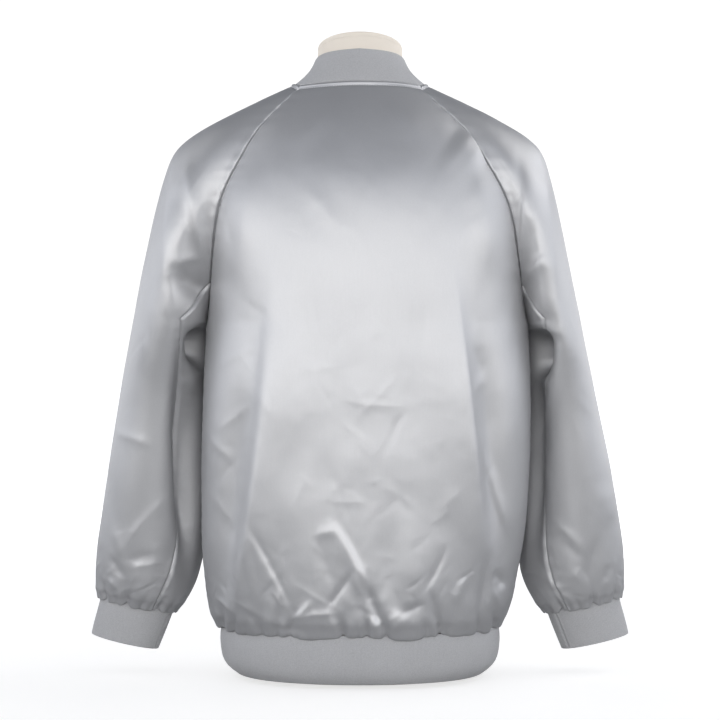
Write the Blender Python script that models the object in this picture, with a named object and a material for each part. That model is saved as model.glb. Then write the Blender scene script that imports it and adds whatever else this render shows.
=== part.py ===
"""Satin bomber jacket with raglan sleeves, zipped up on a limbless countertop dress form.

Metres. +X is the wearer's right, +Y the front of the jacket, +Z up. The form's flat base stands at Z = 0.
Every cloth piece is a thin wall: an outer surface worked out from section tables, and the same surface
moved in by the wall's thickness. Neighbouring pieces share their seam points and stop just short of them.
"""

import math

import bmesh
import bpy
import numpy as np
from mathutils import Matrix, Vector

# Cloth
SATIN_WALL = 0.0020
RIB_WALL = 0.0030
TAPE_WALL = 0.0010
SEAM_GAP = 0.0003
EDGE_GAP = 0.0006

# Heights
HEM_SEAM_Z = 0.065
UNDERARM_Z = 0.430

# Two-piece sleeve: the under sleeve's share of the way round, and where its seam meets the raglan seam
UNDER_SLEEVE_SHARE = 0.17
UNDER_SLEEVE_TOP = 0.20

# Zip
ZIP_HALF_GAP = 0.0065
CHAIN_HALF_WIDTH = 0.0030
CHAIN_THICK = 0.0026
TAPE_REACH = 0.016
TAPE_BEHIND = 0.0012
ZIP_CALM = 0.030
SLIDER_DROP = 0.016
PIN_RADIUS = 0.0010
PULL_LENGTH = 0.026
PULL_WIDTH = 0.0070
PULL_THICK = 0.0016

# Counts of cells
LOWER_ROWS = 12
CAP_ROWS = 15
ARM_ROWS = 13
BACK_COLUMNS = 36
FRONT_COLUMNS = 14
SLEEVE_COLUMNS = 16
ROW_CROWDING = 1.6
FORM_SIDES = 32


def spline(knots, values, at):
    """Natural cubic spline through rows of values at the knots, read at the stations in at."""
    count = len(knots)
    steps = np.diff(knots)
    slopes = np.diff(values, axis=0) / steps[:, None]
    system = np.eye(count)
    bends = np.zeros_like(values)
    for i in range(1, count - 1):
        system[i, i - 1 : i + 2] = steps[i - 1], 2 * (steps[i - 1] + steps[i]), steps[i]
        bends[i] = 6 * (slopes[i] - slopes[i - 1])
    bends = np.linalg.solve(system, bends)
    at = np.asarray(at, float)
    i = np.clip(np.searchsorted(knots, at, side="right") - 1, 0, count - 2)
    step = steps[i][..., None]
    before = (at - knots[i])[..., None]
    after = step - before
    cubic = (bends[i] * after**3 + bends[i + 1] * before**3) / (6 * step)
    start = (values[i] / step - bends[i] * step / 6) * after
    end = (values[i + 1] / step - bends[i + 1] * step / 6) * before
    return cubic + start + end


def smooth_step(share):
    share = np.clip(share, 0, 1)
    return share * share * (3 - 2 * share)


class Table:
    """Rows with named columns. Any column can be read as a smooth curve of the first one."""

    def __init__(self, columns, rows):
        self.columns = columns.split()
        self.rows = np.array(rows, float)

    def at(self, station, *names):
        picked = [self.columns.index(name) for name in names]
        found = spline(self.rows[:, 0], self.rows[:, picked], station)
        return np.moveaxis(found, -1, 0) if len(names) > 1 else found[..., 0]

    def each(self):
        return [dict(zip(self.columns, row)) for row in self.rows]


# Side seam from the hem band up to the underarm, with the body's small lean to the wearer's right
SIDE_SEAM = Table(
    "z half_width seam_y shift",
    [
        (0.0650, 0.1700, -0.012, -0.001),
        (0.0774, 0.1806, -0.013, -0.001),
        (0.0921, 0.1868, -0.014, 0.000),
        (0.1167, 0.1911, -0.016, 0.001),
        (0.1536, 0.1957, -0.020, 0.003),
        (0.2150, 0.1994, -0.024, 0.006),
        (0.2810, 0.2009, -0.026, 0.0075),
        (0.3380, 0.2003, -0.026, 0.0085),
        (0.3950, 0.1985, -0.020, 0.009),
        (0.4300, 0.1975, -0.012, 0.009),
    ],
)

# Centre lines of the back and the front
CENTRE_LINE = Table(
    "z back_y front_y",
    [
        (0.0650, -0.1340, 0.1340),
        (0.0774, -0.1405, 0.1400),
        (0.0921, -0.1435, 0.1430),
        (0.1167, -0.1450, 0.1445),
        (0.1536, -0.1455, 0.1450),
        (0.2810, -0.1455, 0.1460),
        (0.3950, -0.1450, 0.1460),
        (0.4300, -0.1445, 0.1455),
        (0.5000, -0.1435, 0.1425),
        (0.5600, -0.1390, 0.1330),
        (0.6000, -0.1325, 0.1180),
        (0.6450, -0.1185, 0.0850),
        (0.6900, -0.0985, 0.0450),
        (0.7220, -0.0780, 0.0150),
    ],
)

# Raglan seams from the underarm (share 0) to the neckline (share 1), on the wearer's right
RAGLAN = Table(
    "share back_x back_y back_z front_x front_y front_z",
    [
        (0.00, 0.1975, -0.0120, 0.430, 0.1975, -0.0120, 0.430),
        (0.10, 0.1920, -0.0360, 0.455, 0.1945, 0.0120, 0.449),
        (0.20, 0.1880, -0.0555, 0.479, 0.1905, 0.0330, 0.470),
        (0.30, 0.1840, -0.0715, 0.507, 0.1860, 0.0520, 0.496),
        (0.40, 0.1795, -0.0825, 0.539, 0.1800, 0.0655, 0.527),
        (0.52, 0.1705, -0.0890, 0.577, 0.1695, 0.0730, 0.563),
        (0.60, 0.1595, -0.0905, 0.602, 0.1600, 0.0725, 0.586),
        (0.68, 0.1470, -0.0895, 0.625, 0.1475, 0.0675, 0.607),
        (0.80, 0.1250, -0.0830, 0.662, 0.1220, 0.0520, 0.645),
        (0.90, 0.0990, -0.0720, 0.691, 0.0960, 0.0330, 0.674),
        (1.00, 0.0713, -0.0600, 0.718, 0.0680, 0.0120, 0.700),
    ],
)

# Front and back necklines at the centre
BACK_NECK_Z = 0.722
FRONT_NECK_Z = 0.645

# Sections of the body panels: how square the corner of the section is, and the part of a quarter turn it spans
SECTION_SHAPE = Table(
    "level square quarter",
    [
        (0.0, 2.35, 1.00),
        (1.0, 2.35, 1.00),
        (1.2, 2.30, 0.90),
        (1.5, 2.20, 0.74),
        (2.0, 2.10, 0.62),
    ],
)

# Sleeve cap: top line of the shoulder and the mid lines of its back and front, on the same shares as the seams
SLEEVE_CAP = Table(
    "share top_x top_y top_z back_x back_y back_z front_x front_y front_z",
    [
        (0.00, 0.2730, 0.000, 0.4520, 0.2360, -0.0820, 0.4410, 0.2360, 0.0850, 0.4410),
        (0.10, 0.2665, -0.001, 0.4850, 0.2310, -0.0865, 0.4700, 0.2315, 0.0870, 0.4680),
        (0.20, 0.2600, -0.001, 0.5160, 0.2260, -0.0900, 0.4990, 0.2265, 0.0885, 0.4960),
        (0.30, 0.2530, -0.002, 0.5470, 0.2205, -0.0920, 0.5290, 0.2210, 0.0885, 0.5240),
        (0.40, 0.2450, -0.003, 0.5800, 0.2140, -0.0915, 0.5610, 0.2140, 0.0860, 0.5550),
        (0.52, 0.2345, -0.005, 0.6170, 0.2045, -0.0870, 0.6000, 0.2035, 0.0785, 0.5910),
        (0.60, 0.2270, -0.006, 0.6370, 0.1945, -0.0820, 0.6235, 0.1935, 0.0715, 0.6130),
        (0.68, 0.2120, -0.008, 0.6550, 0.1815, -0.0765, 0.6440, 0.1800, 0.0625, 0.6330),
        (0.80, 0.1720, -0.012, 0.6800, 0.1500, -0.0650, 0.6760, 0.1490, 0.0425, 0.6670),
        (0.90, 0.1240, -0.016, 0.7030, 0.1130, -0.0550, 0.7010, 0.1120, 0.0220, 0.6930),
        (1.00, 0.0795, -0.020, 0.7235, 0.0770, -0.0420, 0.7225, 0.0755, -0.0020, 0.7140),
    ],
)

# Arm of the sleeve from the cuff seam (share 0) to the underarm (share 1)
ARM = Table(
    "share outer_x outer_z inner_x inner_y inner_z centre_y half_depth",
    [
        (0.00, 0.3225, 0.0960, 0.2320, 0.020, 0.0770, 0.020, 0.0300),
        (0.04, 0.3280, 0.1030, 0.2220, 0.021, 0.0830, 0.020, 0.0420),
        (0.10, 0.3300, 0.1160, 0.2110, 0.024, 0.0985, 0.019, 0.0490),
        (0.18, 0.3290, 0.1370, 0.2030, 0.030, 0.1200, 0.018, 0.0530),
        (0.35, 0.3225, 0.1900, 0.1965, 0.036, 0.1750, 0.015, 0.0580),
        (0.55, 0.3075, 0.2790, 0.1965, 0.036, 0.2600, 0.011, 0.0660),
        (0.75, 0.2900, 0.3700, 0.1985, 0.026, 0.3480, 0.006, 0.0745),
        (0.90, 0.2790, 0.4220, 0.2000, 0.004, 0.4020, 0.000, 0.0805),
        (1.00, 0.2730, 0.4520, 0.1975, -0.012, 0.4300, -0.001, 0.0835),
    ],
)

# How far both sleeves sit to the wearer's left of even: cuff 0, underarm 1, neck 2
SLEEVE_SWAY = Table(
    "level shift",
    [
        (0.0, 0.0000),
        (0.4, -0.0005),
        (0.7, -0.0025),
        (1.0, -0.0040),
        (1.3, -0.0040),
        (1.6, -0.0025),
        (1.8, -0.0008),
        (2.0, 0.0000),
    ],
)

# Cuff from its seam (share 0) to its free edge (share 1)
CUFF = Table(
    "share outer_x outer_z inner_x inner_z centre_y half_depth",
    [
        (0.00, 0.3225, 0.0960, 0.2320, 0.0770, 0.020, 0.0300),
        (0.35, 0.3268, 0.0790, 0.2385, 0.0600, 0.020, 0.0285),
        (0.70, 0.3315, 0.0620, 0.2455, 0.0425, 0.020, 0.0270),
        (1.00, 0.3350, 0.0475, 0.2515, 0.0280, 0.020, 0.0260),
    ],
)
CUFF_ROWS = 3
CUFF_COLUMNS = 28

# Hem band from its seam down to its free edge, which is drawn in
HEM_BAND = Table(
    "drop z half_width back_y front_y seam_y",
    [
        (0.00, 0.0644, 0.1700, -0.1340, 0.1340, -0.012),
        (0.30, 0.0480, 0.1715, -0.1350, 0.1350, -0.012),
        (0.55, 0.0340, 0.1705, -0.1345, 0.1345, -0.011),
        (0.75, 0.0215, 0.1625, -0.1320, 0.1320, -0.009),
        (0.90, 0.0120, 0.1515, -0.1275, 0.1275, -0.006),
        (1.00, 0.0055, 0.1440, -0.1235, 0.1235, -0.004),
    ],
)
HEM_ROWS = 4
HEM_COLUMNS = 20

# Upper edge of the collar from centre front (share 0) to centre back (share 1)
COLLAR_TOP = Table(
    "share x y z",
    [
        (0.00, 0.0065, 0.0640, 0.6890),
        (0.25, 0.0375, 0.0480, 0.7060),
        (0.50, 0.0562, 0.0060, 0.7430),
        (0.75, 0.0450, -0.0440, 0.7590),
        (1.00, 0.0000, -0.0600, 0.7630),
    ],
)
COLLAR_ROWS = 3
NECK_STEP = 2
NECK_AXIS_Y = 0.002
COLLAR_FLARE = 0.0040

# Largest folds of the body: a soft ridge or trough from one point to the other, seen square on
BACK_FOLDS = Table(
    "x0 z0 x1 z1 half_width height",
    [
        (-0.104, 0.580, -0.120, 0.360, 0.024, 0.0055),
        (-0.120, 0.360, -0.155, 0.090, 0.020, 0.0065),
        (-0.152, 0.400, -0.178, 0.110, 0.016, -0.0050),
        (0.112, 0.480, 0.130, 0.340, 0.018, 0.0045),
        (0.130, 0.340, 0.154, 0.110, 0.016, 0.0050),
        (0.150, 0.330, 0.180, 0.130, 0.016, -0.0050),
        (-0.040, 0.195, 0.002, 0.130, 0.012, 0.0050),
        (0.002, 0.130, 0.030, 0.070, 0.012, 0.0045),
        (-0.128, 0.185, -0.080, 0.100, 0.012, -0.0035),
        (0.076, 0.150, 0.090, 0.070, 0.012, -0.0040),
    ],
)
FRONT_FOLDS = Table(
    "x0 z0 x1 z1 half_width height",
    [
        (-0.100, 0.520, -0.125, 0.300, 0.024, 0.0050),
        (-0.125, 0.300, -0.150, 0.090, 0.020, 0.0060),
        (0.098, 0.540, 0.118, 0.320, 0.024, 0.0050),
        (0.118, 0.320, 0.146, 0.090, 0.020, 0.0060),
        (-0.090, 0.200, -0.055, 0.090, 0.014, 0.0045),
        (0.085, 0.180, 0.050, 0.085, 0.014, 0.0045),
        (0.150, 0.330, 0.176, 0.130, 0.016, -0.0045),
        (-0.152, 0.360, -0.176, 0.130, 0.016, -0.0045),
    ],
)

# Gathers where the satin is drawn into the hem band: a short trough that leans as it rises
BACK_GATHERS = Table(
    "x rise lean half_width depth",
    [
        (-0.162, 0.050, -0.004, 0.009, 0.0045),
        (-0.140, 0.035, 0.003, 0.009, 0.0035),
        (-0.118, 0.030, 0.002, 0.008, 0.0030),
        (-0.100, 0.045, -0.006, 0.009, 0.0050),
        (-0.074, 0.060, 0.010, 0.009, 0.0050),
        (-0.046, 0.028, 0.002, 0.008, 0.0030),
        (-0.018, 0.040, -0.010, 0.009, 0.0055),
        (0.006, 0.030, -0.003, 0.008, 0.0035),
        (0.031, 0.055, -0.016, 0.009, 0.0050),
        (0.056, 0.026, 0.002, 0.008, 0.0025),
        (0.080, 0.042, -0.004, 0.009, 0.0050),
        (0.096, 0.036, 0.006, 0.008, 0.0040),
        (0.118, 0.030, 0.002, 0.008, 0.0030),
        (0.140, 0.070, 0.000, 0.009, 0.0050),
        (0.160, 0.045, 0.004, 0.009, 0.0045),
    ],
)
FRONT_GATHERS = Table(
    "x rise lean half_width depth",
    [
        (0.024, 0.034, 0.004, 0.009, 0.0040),
        (0.048, 0.050, 0.006, 0.009, 0.0050),
        (0.072, 0.032, 0.001, 0.009, 0.0035),
        (0.094, 0.056, 0.008, 0.009, 0.0050),
        (0.118, 0.034, 0.002, 0.009, 0.0040),
        (0.140, 0.048, 0.004, 0.009, 0.0045),
        (0.160, 0.036, 0.003, 0.009, 0.0040),
    ],
)

# Sleeve folds, placed by the share of the way round (0 is the inside, 0.25 the back, 0.5 the outside)
# and by the share of the way up (0 the cuff, 1 the underarm, 2 the neck)
SLEEVE_FOLDS = Table(
    "round0 up0 round1 up1 half_width height",
    [
        (0.150, 0.10, 0.185, 0.62, 0.014, -0.0075),
        (0.185, 0.62, 0.245, 1.18, 0.014, -0.0070),
        (0.270, 0.60, 0.330, 1.45, 0.018, 0.0045),
        (0.380, 0.25, 0.400, 0.60, 0.020, 0.0030),
        (0.760, 0.15, 0.720, 0.75, 0.018, -0.0050),
        (0.660, 0.45, 0.640, 1.20, 0.020, 0.0040),
    ],
)
SLEEVE_ROUND_M = 0.36
SLEEVE_UP_M = 0.37
CUFF_GATHERS = Table(
    "round rise lean half_width depth",
    [
        (0.060, 0.10, 0.010, 0.010, 0.0035),
        (0.150, 0.16, 0.010, 0.010, 0.0050),
        (0.215, 0.10, -0.010, 0.009, 0.0045),
        (0.275, 0.16, -0.020, 0.010, 0.0050),
        (0.340, 0.12, 0.015, 0.009, 0.0045),
        (0.410, 0.18, 0.020, 0.010, 0.0050),
        (0.490, 0.12, 0.000, 0.010, 0.0040),
        (0.570, 0.16, -0.010, 0.010, 0.0050),
        (0.650, 0.11, 0.010, 0.009, 0.0045),
        (0.725, 0.17, 0.010, 0.010, 0.0050),
        (0.800, 0.11, -0.010, 0.009, 0.0045),
        (0.880, 0.14, -0.010, 0.010, 0.0045),
        (0.950, 0.09, 0.000, 0.009, 0.0035),
    ],
)

# Dress form: flat base, hips, waist, chest, shoulders and neck
FORM = Table(
    "z half_width back_y front_y square",
    [
        (0.000, 0.1300, -0.100, 0.100, 2.3),
        (0.040, 0.1460, -0.112, 0.112, 2.3),
        (0.080, 0.1560, -0.118, 0.116, 2.3),
        (0.140, 0.1600, -0.120, 0.116, 2.3),
        (0.220, 0.1520, -0.112, 0.106, 2.2),
        (0.290, 0.1480, -0.106, 0.102, 2.2),
        (0.370, 0.1560, -0.114, 0.112, 2.2),
        (0.450, 0.1680, -0.121, 0.120, 2.2),
        (0.520, 0.1770, -0.122, 0.116, 2.2),
        (0.570, 0.1860, -0.114, 0.102, 2.2),
        (0.605, 0.1930, -0.104, 0.086, 2.2),
        (0.632, 0.1900, -0.092, 0.064, 2.1),
        (0.652, 0.1700, -0.084, 0.048, 2.0),
        (0.670, 0.1400, -0.077, 0.033, 2.0),
        (0.688, 0.1020, -0.070, 0.024, 1.9),
        (0.706, 0.0680, -0.063, 0.024, 1.9),
        (0.722, 0.0540, -0.058, 0.031, 2.0),
        (0.740, 0.0510, -0.055, 0.036, 2.0),
        (0.757, 0.0504, -0.053, 0.037, 2.0),
        (0.766, 0.0502, -0.0525, 0.0375, 2.0),
    ],
)
FORM_HEIGHTS = (
    0.000, 0.006, 0.040, 0.080, 0.140, 0.220, 0.290, 0.370, 0.450, 0.520, 0.570, 0.605,
    0.632, 0.652, 0.670, 0.688, 0.706, 0.722, 0.740, 0.757, 0.766,
)
FORM_FOOT_ROUND = 0.004
NECK_TOP_TILT = 0.31
NECK_TILT_START_Z = 0.740
NECK_CAP_THICK = 0.0060
NECK_CAP_ROUND = 0.0022

RIGHT = 1
LEFT = -1
SIDE_NAMES = {RIGHT: "right", LEFT: "left"}


# Body panels

def lower_levels():
    """Levels from the hem seam (0) to the underarm (1), closer together at the gathers."""
    return (np.arange(LOWER_ROWS + 1) / LOWER_ROWS) ** ROW_CROWDING


def cap_shares():
    return np.arange(CAP_ROWS + 1) / CAP_ROWS


def body_levels():
    return np.concatenate([lower_levels(), 1 + cap_shares()[1:]])


def seam_point(level, face, side):
    """A body panel's edge: the side seam up to level 1, then the raglan seam of that face."""
    if level <= 1:
        z = HEM_SEAM_Z + (UNDERARM_Z - HEM_SEAM_Z) * level
        half_width, seam_y, shift = SIDE_SEAM.at(z, "half_width", "seam_y", "shift")
        return np.array([shift + side * half_width, seam_y, z])
    x, y, z = RAGLAN.at(level - 1, face + "_x", face + "_y", face + "_z")
    lean = SIDE_SEAM.rows[-1, 3] * (2 - level)
    return np.array([lean + side * x, y, z])


def centre_point(level, face):
    """The centre line of the back or the front at a level."""
    seam = seam_point(level, face, RIGHT)
    z = seam[2]
    if level > 1:
        top = BACK_NECK_Z if face == "back" else FRONT_NECK_Z
        corner = RAGLAN.rows[-1, RAGLAN.columns.index(face + "_z")]
        z = UNDERARM_Z + (top - UNDERARM_Z) * (z - UNDERARM_Z) / (corner - UNDERARM_Z)
    return np.array([0.0, CENTRE_LINE.at(z, face + "_y"), z])


def section(centre, seam, square, quarter, shares):
    """Points from the centre to the seam along part of a rounded corner, at even distances."""
    angle = np.linspace(0, 1, 97) * quarter * math.pi / 2
    power = 2 / square
    across = np.sin(angle) ** power
    depth = 1 - np.cos(angle).clip(0) ** power
    across /= across[-1]
    depth /= depth[-1]
    dense = np.stack(
        [
            centre[0] + (seam[0] - centre[0]) * across,
            centre[1] + (seam[1] - centre[1]) * depth,
            centre[2] + (seam[2] - centre[2]) * across**2,
        ],
        axis=1,
    )
    length = np.concatenate([[0], np.cumsum(np.linalg.norm(np.diff(dense, axis=0), axis=1))])
    wanted = np.asarray(shares) * length[-1]
    return np.stack([np.interp(wanted, length, dense[:, i]) for i in range(3)], axis=1)


def half_row(level, face, side, shares):
    square, quarter = SECTION_SHAPE.at(level, "square", "quarter")
    if level <= 1:
        quarter = 1.0
    return section(centre_point(level, face), seam_point(level, face, side), square, quarter, shares)


def back_grid():
    shares = np.linspace(0, 1, BACK_COLUMNS // 2 + 1)
    rows = []
    for level in body_levels():
        left = half_row(level, "back", LEFT, shares)[::-1]
        right = half_row(level, "back", RIGHT, shares)
        rows.append(np.concatenate([left[:-1], right]))
    return np.array(rows)


def front_grid(side):
    """One front, from the zip's edge to the side seam."""
    rows = []
    for level in body_levels():
        whole = half_row(level, "front", side, np.linspace(0, 1, 49))
        start = np.interp(ZIP_HALF_GAP, np.abs(whole[:, 0]), np.linspace(0, 1, 49))
        rows.append(half_row(level, "front", side, np.linspace(start, 1, FRONT_COLUMNS + 1)))
    return np.array(rows)


# Sleeves

def sleeve_controls(level, side):
    """Five points round a sleeve section: seam at the back, back, outside, front, seam at the front."""
    sway = SLEEVE_SWAY.at(level, "shift")
    if level <= 1:
        outer_x, outer_z, inner_x, inner_y, inner_z, centre_y, half_depth = ARM.at(
            level, "outer_x", "outer_z", "inner_x", "inner_y", "inner_z", "centre_y", "half_depth"
        )
        lean = SIDE_SEAM.at(inner_z, "shift") * smooth_step((inner_z - 0.10) / 0.08)
        inner = np.array([side * inner_x + lean, inner_y, inner_z])
        outer = np.array([side * outer_x + sway, centre_y, outer_z])
        middle = (inner + outer) / 2
        back = np.array([middle[0], centre_y - half_depth, middle[2]])
        front = np.array([middle[0], centre_y + half_depth, middle[2]])
        return np.array([inner, back, outer, front, inner])
    share = level - 1
    columns = [line + axis for line in ("back", "top", "front") for axis in ("_x", "_y", "_z")]
    middle = np.array(SLEEVE_CAP.at(share, *columns)).reshape(3, 3)
    middle[:, 0] = side * middle[:, 0] + sway
    return np.array(
        [seam_point(level, "back", side), *middle, seam_point(level, "front", side)]
    )


def sleeve_row(level, side, rounds):
    """Points round a sleeve section at the given shares of the way round."""
    points = sleeve_controls(level, side)
    opened = smooth_step((level - 1) / UNDER_SLEEVE_TOP)
    ring = math.pi * (points[1] - points[3])
    first = (1 - opened) * ring + opened * 4 * (points[1] - points[0])
    last = (1 - opened) * ring + opened * 4 * (points[4] - points[3])
    step = 0.25
    right = 3 * (points[2:] - points[:-2]) / step
    right[0] -= first
    right[2] -= last
    inner = np.linalg.solve(np.array([[4, 1, 0], [1, 4, 1], [0, 1, 4]], float), right)
    slopes = np.concatenate([[first], inner, [last]]) * step
    rounds = np.asarray(rounds, float)
    i = np.clip((rounds / step).astype(int), 0, 3)
    t = (rounds / step - i)[:, None]
    return (
        points[i] * (2 * t**3 - 3 * t**2 + 1)
        + slopes[i] * (t**3 - 2 * t**2 + t)
        + points[i + 1] * (3 * t**2 - 2 * t**3)
        + slopes[i + 1] * (t**3 - t**2)
    )


def under_seam_round(level):
    """Share of the way round at which the under sleeve's back seam runs."""
    if level <= 1:
        return UNDER_SLEEVE_SHARE
    return UNDER_SLEEVE_SHARE * max(0.0, 1 - (level - 1) / UNDER_SLEEVE_TOP)


def arm_levels():
    return (np.arange(ARM_ROWS + 1) / ARM_ROWS) ** ROW_CROWDING


def upper_sleeve_places():
    """(level, shares of the way round) of each row of an upper sleeve."""
    places = []
    for level in np.concatenate([arm_levels(), 1 + cap_shares()[1:]]):
        seam = under_seam_round(level)
        places.append((level, np.linspace(seam, 1 - seam, SLEEVE_COLUMNS + 1)))
    return places


def under_sleeve_places():
    """Like upper_sleeve_places, with a level for each point: the top row runs along the armhole."""
    tip_rows = round(UNDER_SLEEVE_TOP * CAP_ROWS)
    across = np.arange(-tip_rows, tip_rows + 1) / tip_rows
    rows = [(np.full(len(across), level), across * UNDER_SLEEVE_SHARE) for level in arm_levels()]
    for tip in range(1, tip_rows + 1):
        rise = tip / tip_rows
        levels = 1 + rise * np.abs(across) * UNDER_SLEEVE_TOP
        rows.append((levels, across * UNDER_SLEEVE_SHARE * (1 - rise)))
    return rows


def under_sleeve_point(level, place, side, edge_side):
    """A point by its signed share round from the inside, where the back is positive."""
    on_back = place > 0 or (place == 0 and edge_side > 0)
    where = place if on_back else 1 + place
    return sleeve_row(level, side, [where])[0]


# Folds

def distance_to_line(a, b, row, start, end):
    """Distance of each point (a, b) from a line's stretch, and the share of the way along it."""
    dx, dy = end[0] - start[0], end[1] - start[1]
    along = ((a - start[0]) * dx + (b - start[1]) * dy) / (dx * dx + dy * dy)
    held = along.clip(0, 1)
    off = np.hypot(a - start[0] - held * dx, b - start[1] - held * dy)
    return off, along


def taper(along):
    """1 in the middle of a fold and 0 past its ends."""
    return np.sin(math.pi * (along * 0.8 + 0.1).clip(0, 1)) ** 1.2


def body_lift(grid, folds, gathers, mirrored=1):
    """How far each point of a body panel stands out of its plain surface."""
    x, z = grid[..., 0], grid[..., 2]
    lift = np.zeros(x.shape)
    for fold in folds.each():
        start, end = (fold["x0"], fold["z0"]), (fold["x1"], fold["z1"])
        off, along = distance_to_line(x, z, fold, start, end)
        lift += fold["height"] * np.exp(-((off / fold["half_width"]) ** 2)) * taper(along)
    above = (z - HEM_SEAM_Z).clip(0)
    for gather in gathers.each():
        up = above / gather["rise"]
        middle = mirrored * (gather["x"] + gather["lean"] * up)
        shape = np.exp(-(((x - middle) / gather["half_width"]) ** 2))
        lift -= gather["depth"] * shape * np.exp(-(up**2)) * (0.35 + 0.65 * (up / 0.3).clip(0, 1))
    return lift


def sleeve_lift(rounds, levels):
    """How far each point of a sleeve stands out of its plain surface."""
    a, b = rounds * SLEEVE_ROUND_M, levels * SLEEVE_UP_M
    lift = np.zeros(a.shape)
    for fold in SLEEVE_FOLDS.each():
        start = (fold["round0"] * SLEEVE_ROUND_M, fold["up0"] * SLEEVE_UP_M)
        end = (fold["round1"] * SLEEVE_ROUND_M, fold["up1"] * SLEEVE_UP_M)
        off, along = distance_to_line(a, b, fold, start, end)
        lift += fold["height"] * np.exp(-((off / fold["half_width"]) ** 2)) * taper(along)
    for gather in CUFF_GATHERS.each():
        up = levels / gather["rise"]
        middle = (gather["round"] + gather["lean"] * up) * SLEEVE_ROUND_M
        shape = np.exp(-(((a - middle) / gather["half_width"]) ** 2))
        lift -= gather["depth"] * shape * np.exp(-(up**2)) * (0.3 + 0.7 * (up / 0.3).clip(0, 1))
    return lift


# Solids

class Surface:
    """A grid of points as a mesh whose equal points are one, with room for normals shared along seams."""

    def __init__(self, grid, outward, lift=None):
        rows, columns = grid.shape[:2]
        index, self.points, lifts = {}, [], []
        number = np.empty((rows, columns), int)
        for r in range(rows):
            for c in range(columns):
                key = tuple(np.round(grid[r, c], 6))
                if key not in index:
                    index[key] = len(self.points)
                    self.points.append(grid[r, c])
                    lifts.append(0.0 if lift is None else lift[r, c])
                number[r, c] = index[key]
        self.points = np.array(self.points)
        self.lift = np.array(lifts)
        self.faces = []
        for r in range(rows - 1):
            for c in range(columns - 1):
                loop = [number[r, c], number[r, c + 1], number[r + 1, c + 1], number[r + 1, c]]
                loop = [v for i, v in enumerate(loop) if v != loop[i - 1]]
                self.faces += self.triangles(loop if outward else loop[::-1])
        self.normals = self.corner_normals()

    def triangles(self, loop):
        """A cell cut along its shorter diagonal, the same way in both skins of the wall."""
        if len(loop) < 4:
            return [loop] if len(loop) == 3 else []
        p = self.points[loop]
        if np.linalg.norm(p[2] - p[0]) > np.linalg.norm(p[3] - p[1]):
            loop = loop[1:] + loop[:1]
        a, b, c, d = loop
        return [[a, b, c], [a, c, d]]

    def face_normal(self, loop):
        p = self.points[loop]
        return np.cross(p[1] - p[0], p[2] - p[0])

    def corner_normals(self):
        normals = np.zeros_like(self.points)
        for loop in self.faces:
            normals[loop] += self.face_normal(loop)
        return normals / np.linalg.norm(normals, axis=1)[:, None]

    def edge_loops(self):
        """Edges that only one face uses, each with that face."""
        seen = {}
        for loop in self.faces:
            for i, v in enumerate(loop):
                seen.setdefault(frozenset((loop[i - 1], v)), []).append((loop[i - 1], v, loop))
        return [uses[0] for uses in seen.values() if len(uses) == 1]

    def pulled_in(self, gap):
        """Points with the panel's edge drawn back from its seams by the gap."""
        pull = np.zeros_like(self.points)
        for first, second, loop in self.edge_loops():
            inward = np.cross(self.face_normal(loop), self.points[second] - self.points[first])
            inward /= np.linalg.norm(inward)
            pull[first] += inward
            pull[second] += inward
        size = np.linalg.norm(pull, axis=1)
        edge = size > 0
        pull[edge] /= size[edge][:, None]
        return self.points + pull * gap


def share_normals(surfaces):
    """Gives points that lie on a common seam one normal and one lift, so that walls meet in a mitre.

    Deep in the crease of an underarm the panels all but face each other: there each keeps its own normal.
    """
    sums, lifts = {}, {}
    for surface in surfaces:
        for point, normal, lift in zip(surface.points, surface.normals, surface.lift):
            key = tuple(np.round(point, 5))
            sums[key] = sums.get(key, 0) + normal
            lifts.setdefault(key, []).append(lift)
    for surface in surfaces:
        for i, point in enumerate(surface.points):
            key = tuple(np.round(point, 5))
            own, mean = surface.normals[i], sums[key] / np.linalg.norm(sums[key])
            agree = smooth_step((own @ mean - 0.45) / 0.4)
            mixed = own + agree * (mean - own)
            surface.normals[i] = mixed / np.linalg.norm(mixed)
            surface.lift[i] = agree * np.mean(lifts[key])


# Rims on both sides of a seam are cut along like diagonals, chosen by this direction
RIM_ORDER = np.array([0.3, 0.5, 1.0])


def wall_object(name, surface, wall, material, out=0.0, gap=SEAM_GAP / 2):
    """A closed wall: the surface moved out, a second skin inside it, and a rim round its edge."""
    lifted = surface.pulled_in(gap) + surface.normals * (surface.lift + out)[:, None]
    inside = lifted - surface.normals * wall
    count = len(lifted)
    faces = list(surface.faces)
    faces += [[v + count for v in loop[::-1]] for loop in surface.faces]
    rank = surface.points @ RIM_ORDER
    for first, second, _ in surface.edge_loops():
        rim = [second, first, first + count, second + count]
        a, b, c, d = rim if rank[first] < rank[second] else rim[1:] + rim[:1]
        faces += [[a, b, d], [b, c, d]]
    return mesh_object(name, np.concatenate([lifted, inside]), faces, material)


def mesh_object(name, points, faces, material):
    mesh = bpy.data.meshes.new(name)
    mesh.from_pydata([tuple(p) for p in points], [], [list(map(int, f)) for f in faces])
    mesh.validate()
    mesh.shade_smooth()
    mesh.set_sharp_from_angle(angle=math.radians(50))
    mesh.materials.append(material)
    thing = bpy.data.objects.new(name, mesh)
    bpy.context.scene.collection.objects.link(thing)
    return thing


def finish_material(name, colour, roughness, metallic=0.0):
    made = bpy.data.materials.new(name)
    made.use_nodes = True
    shader = made.node_tree.nodes["Principled BSDF"]
    shader.inputs["Base Color"].default_value = (*colour, 1.0)
    shader.inputs["Roughness"].default_value = roughness
    shader.inputs["Metallic"].default_value = metallic
    made.diffuse_color = (*colour, 1.0)
    return made


# Pieces

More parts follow.
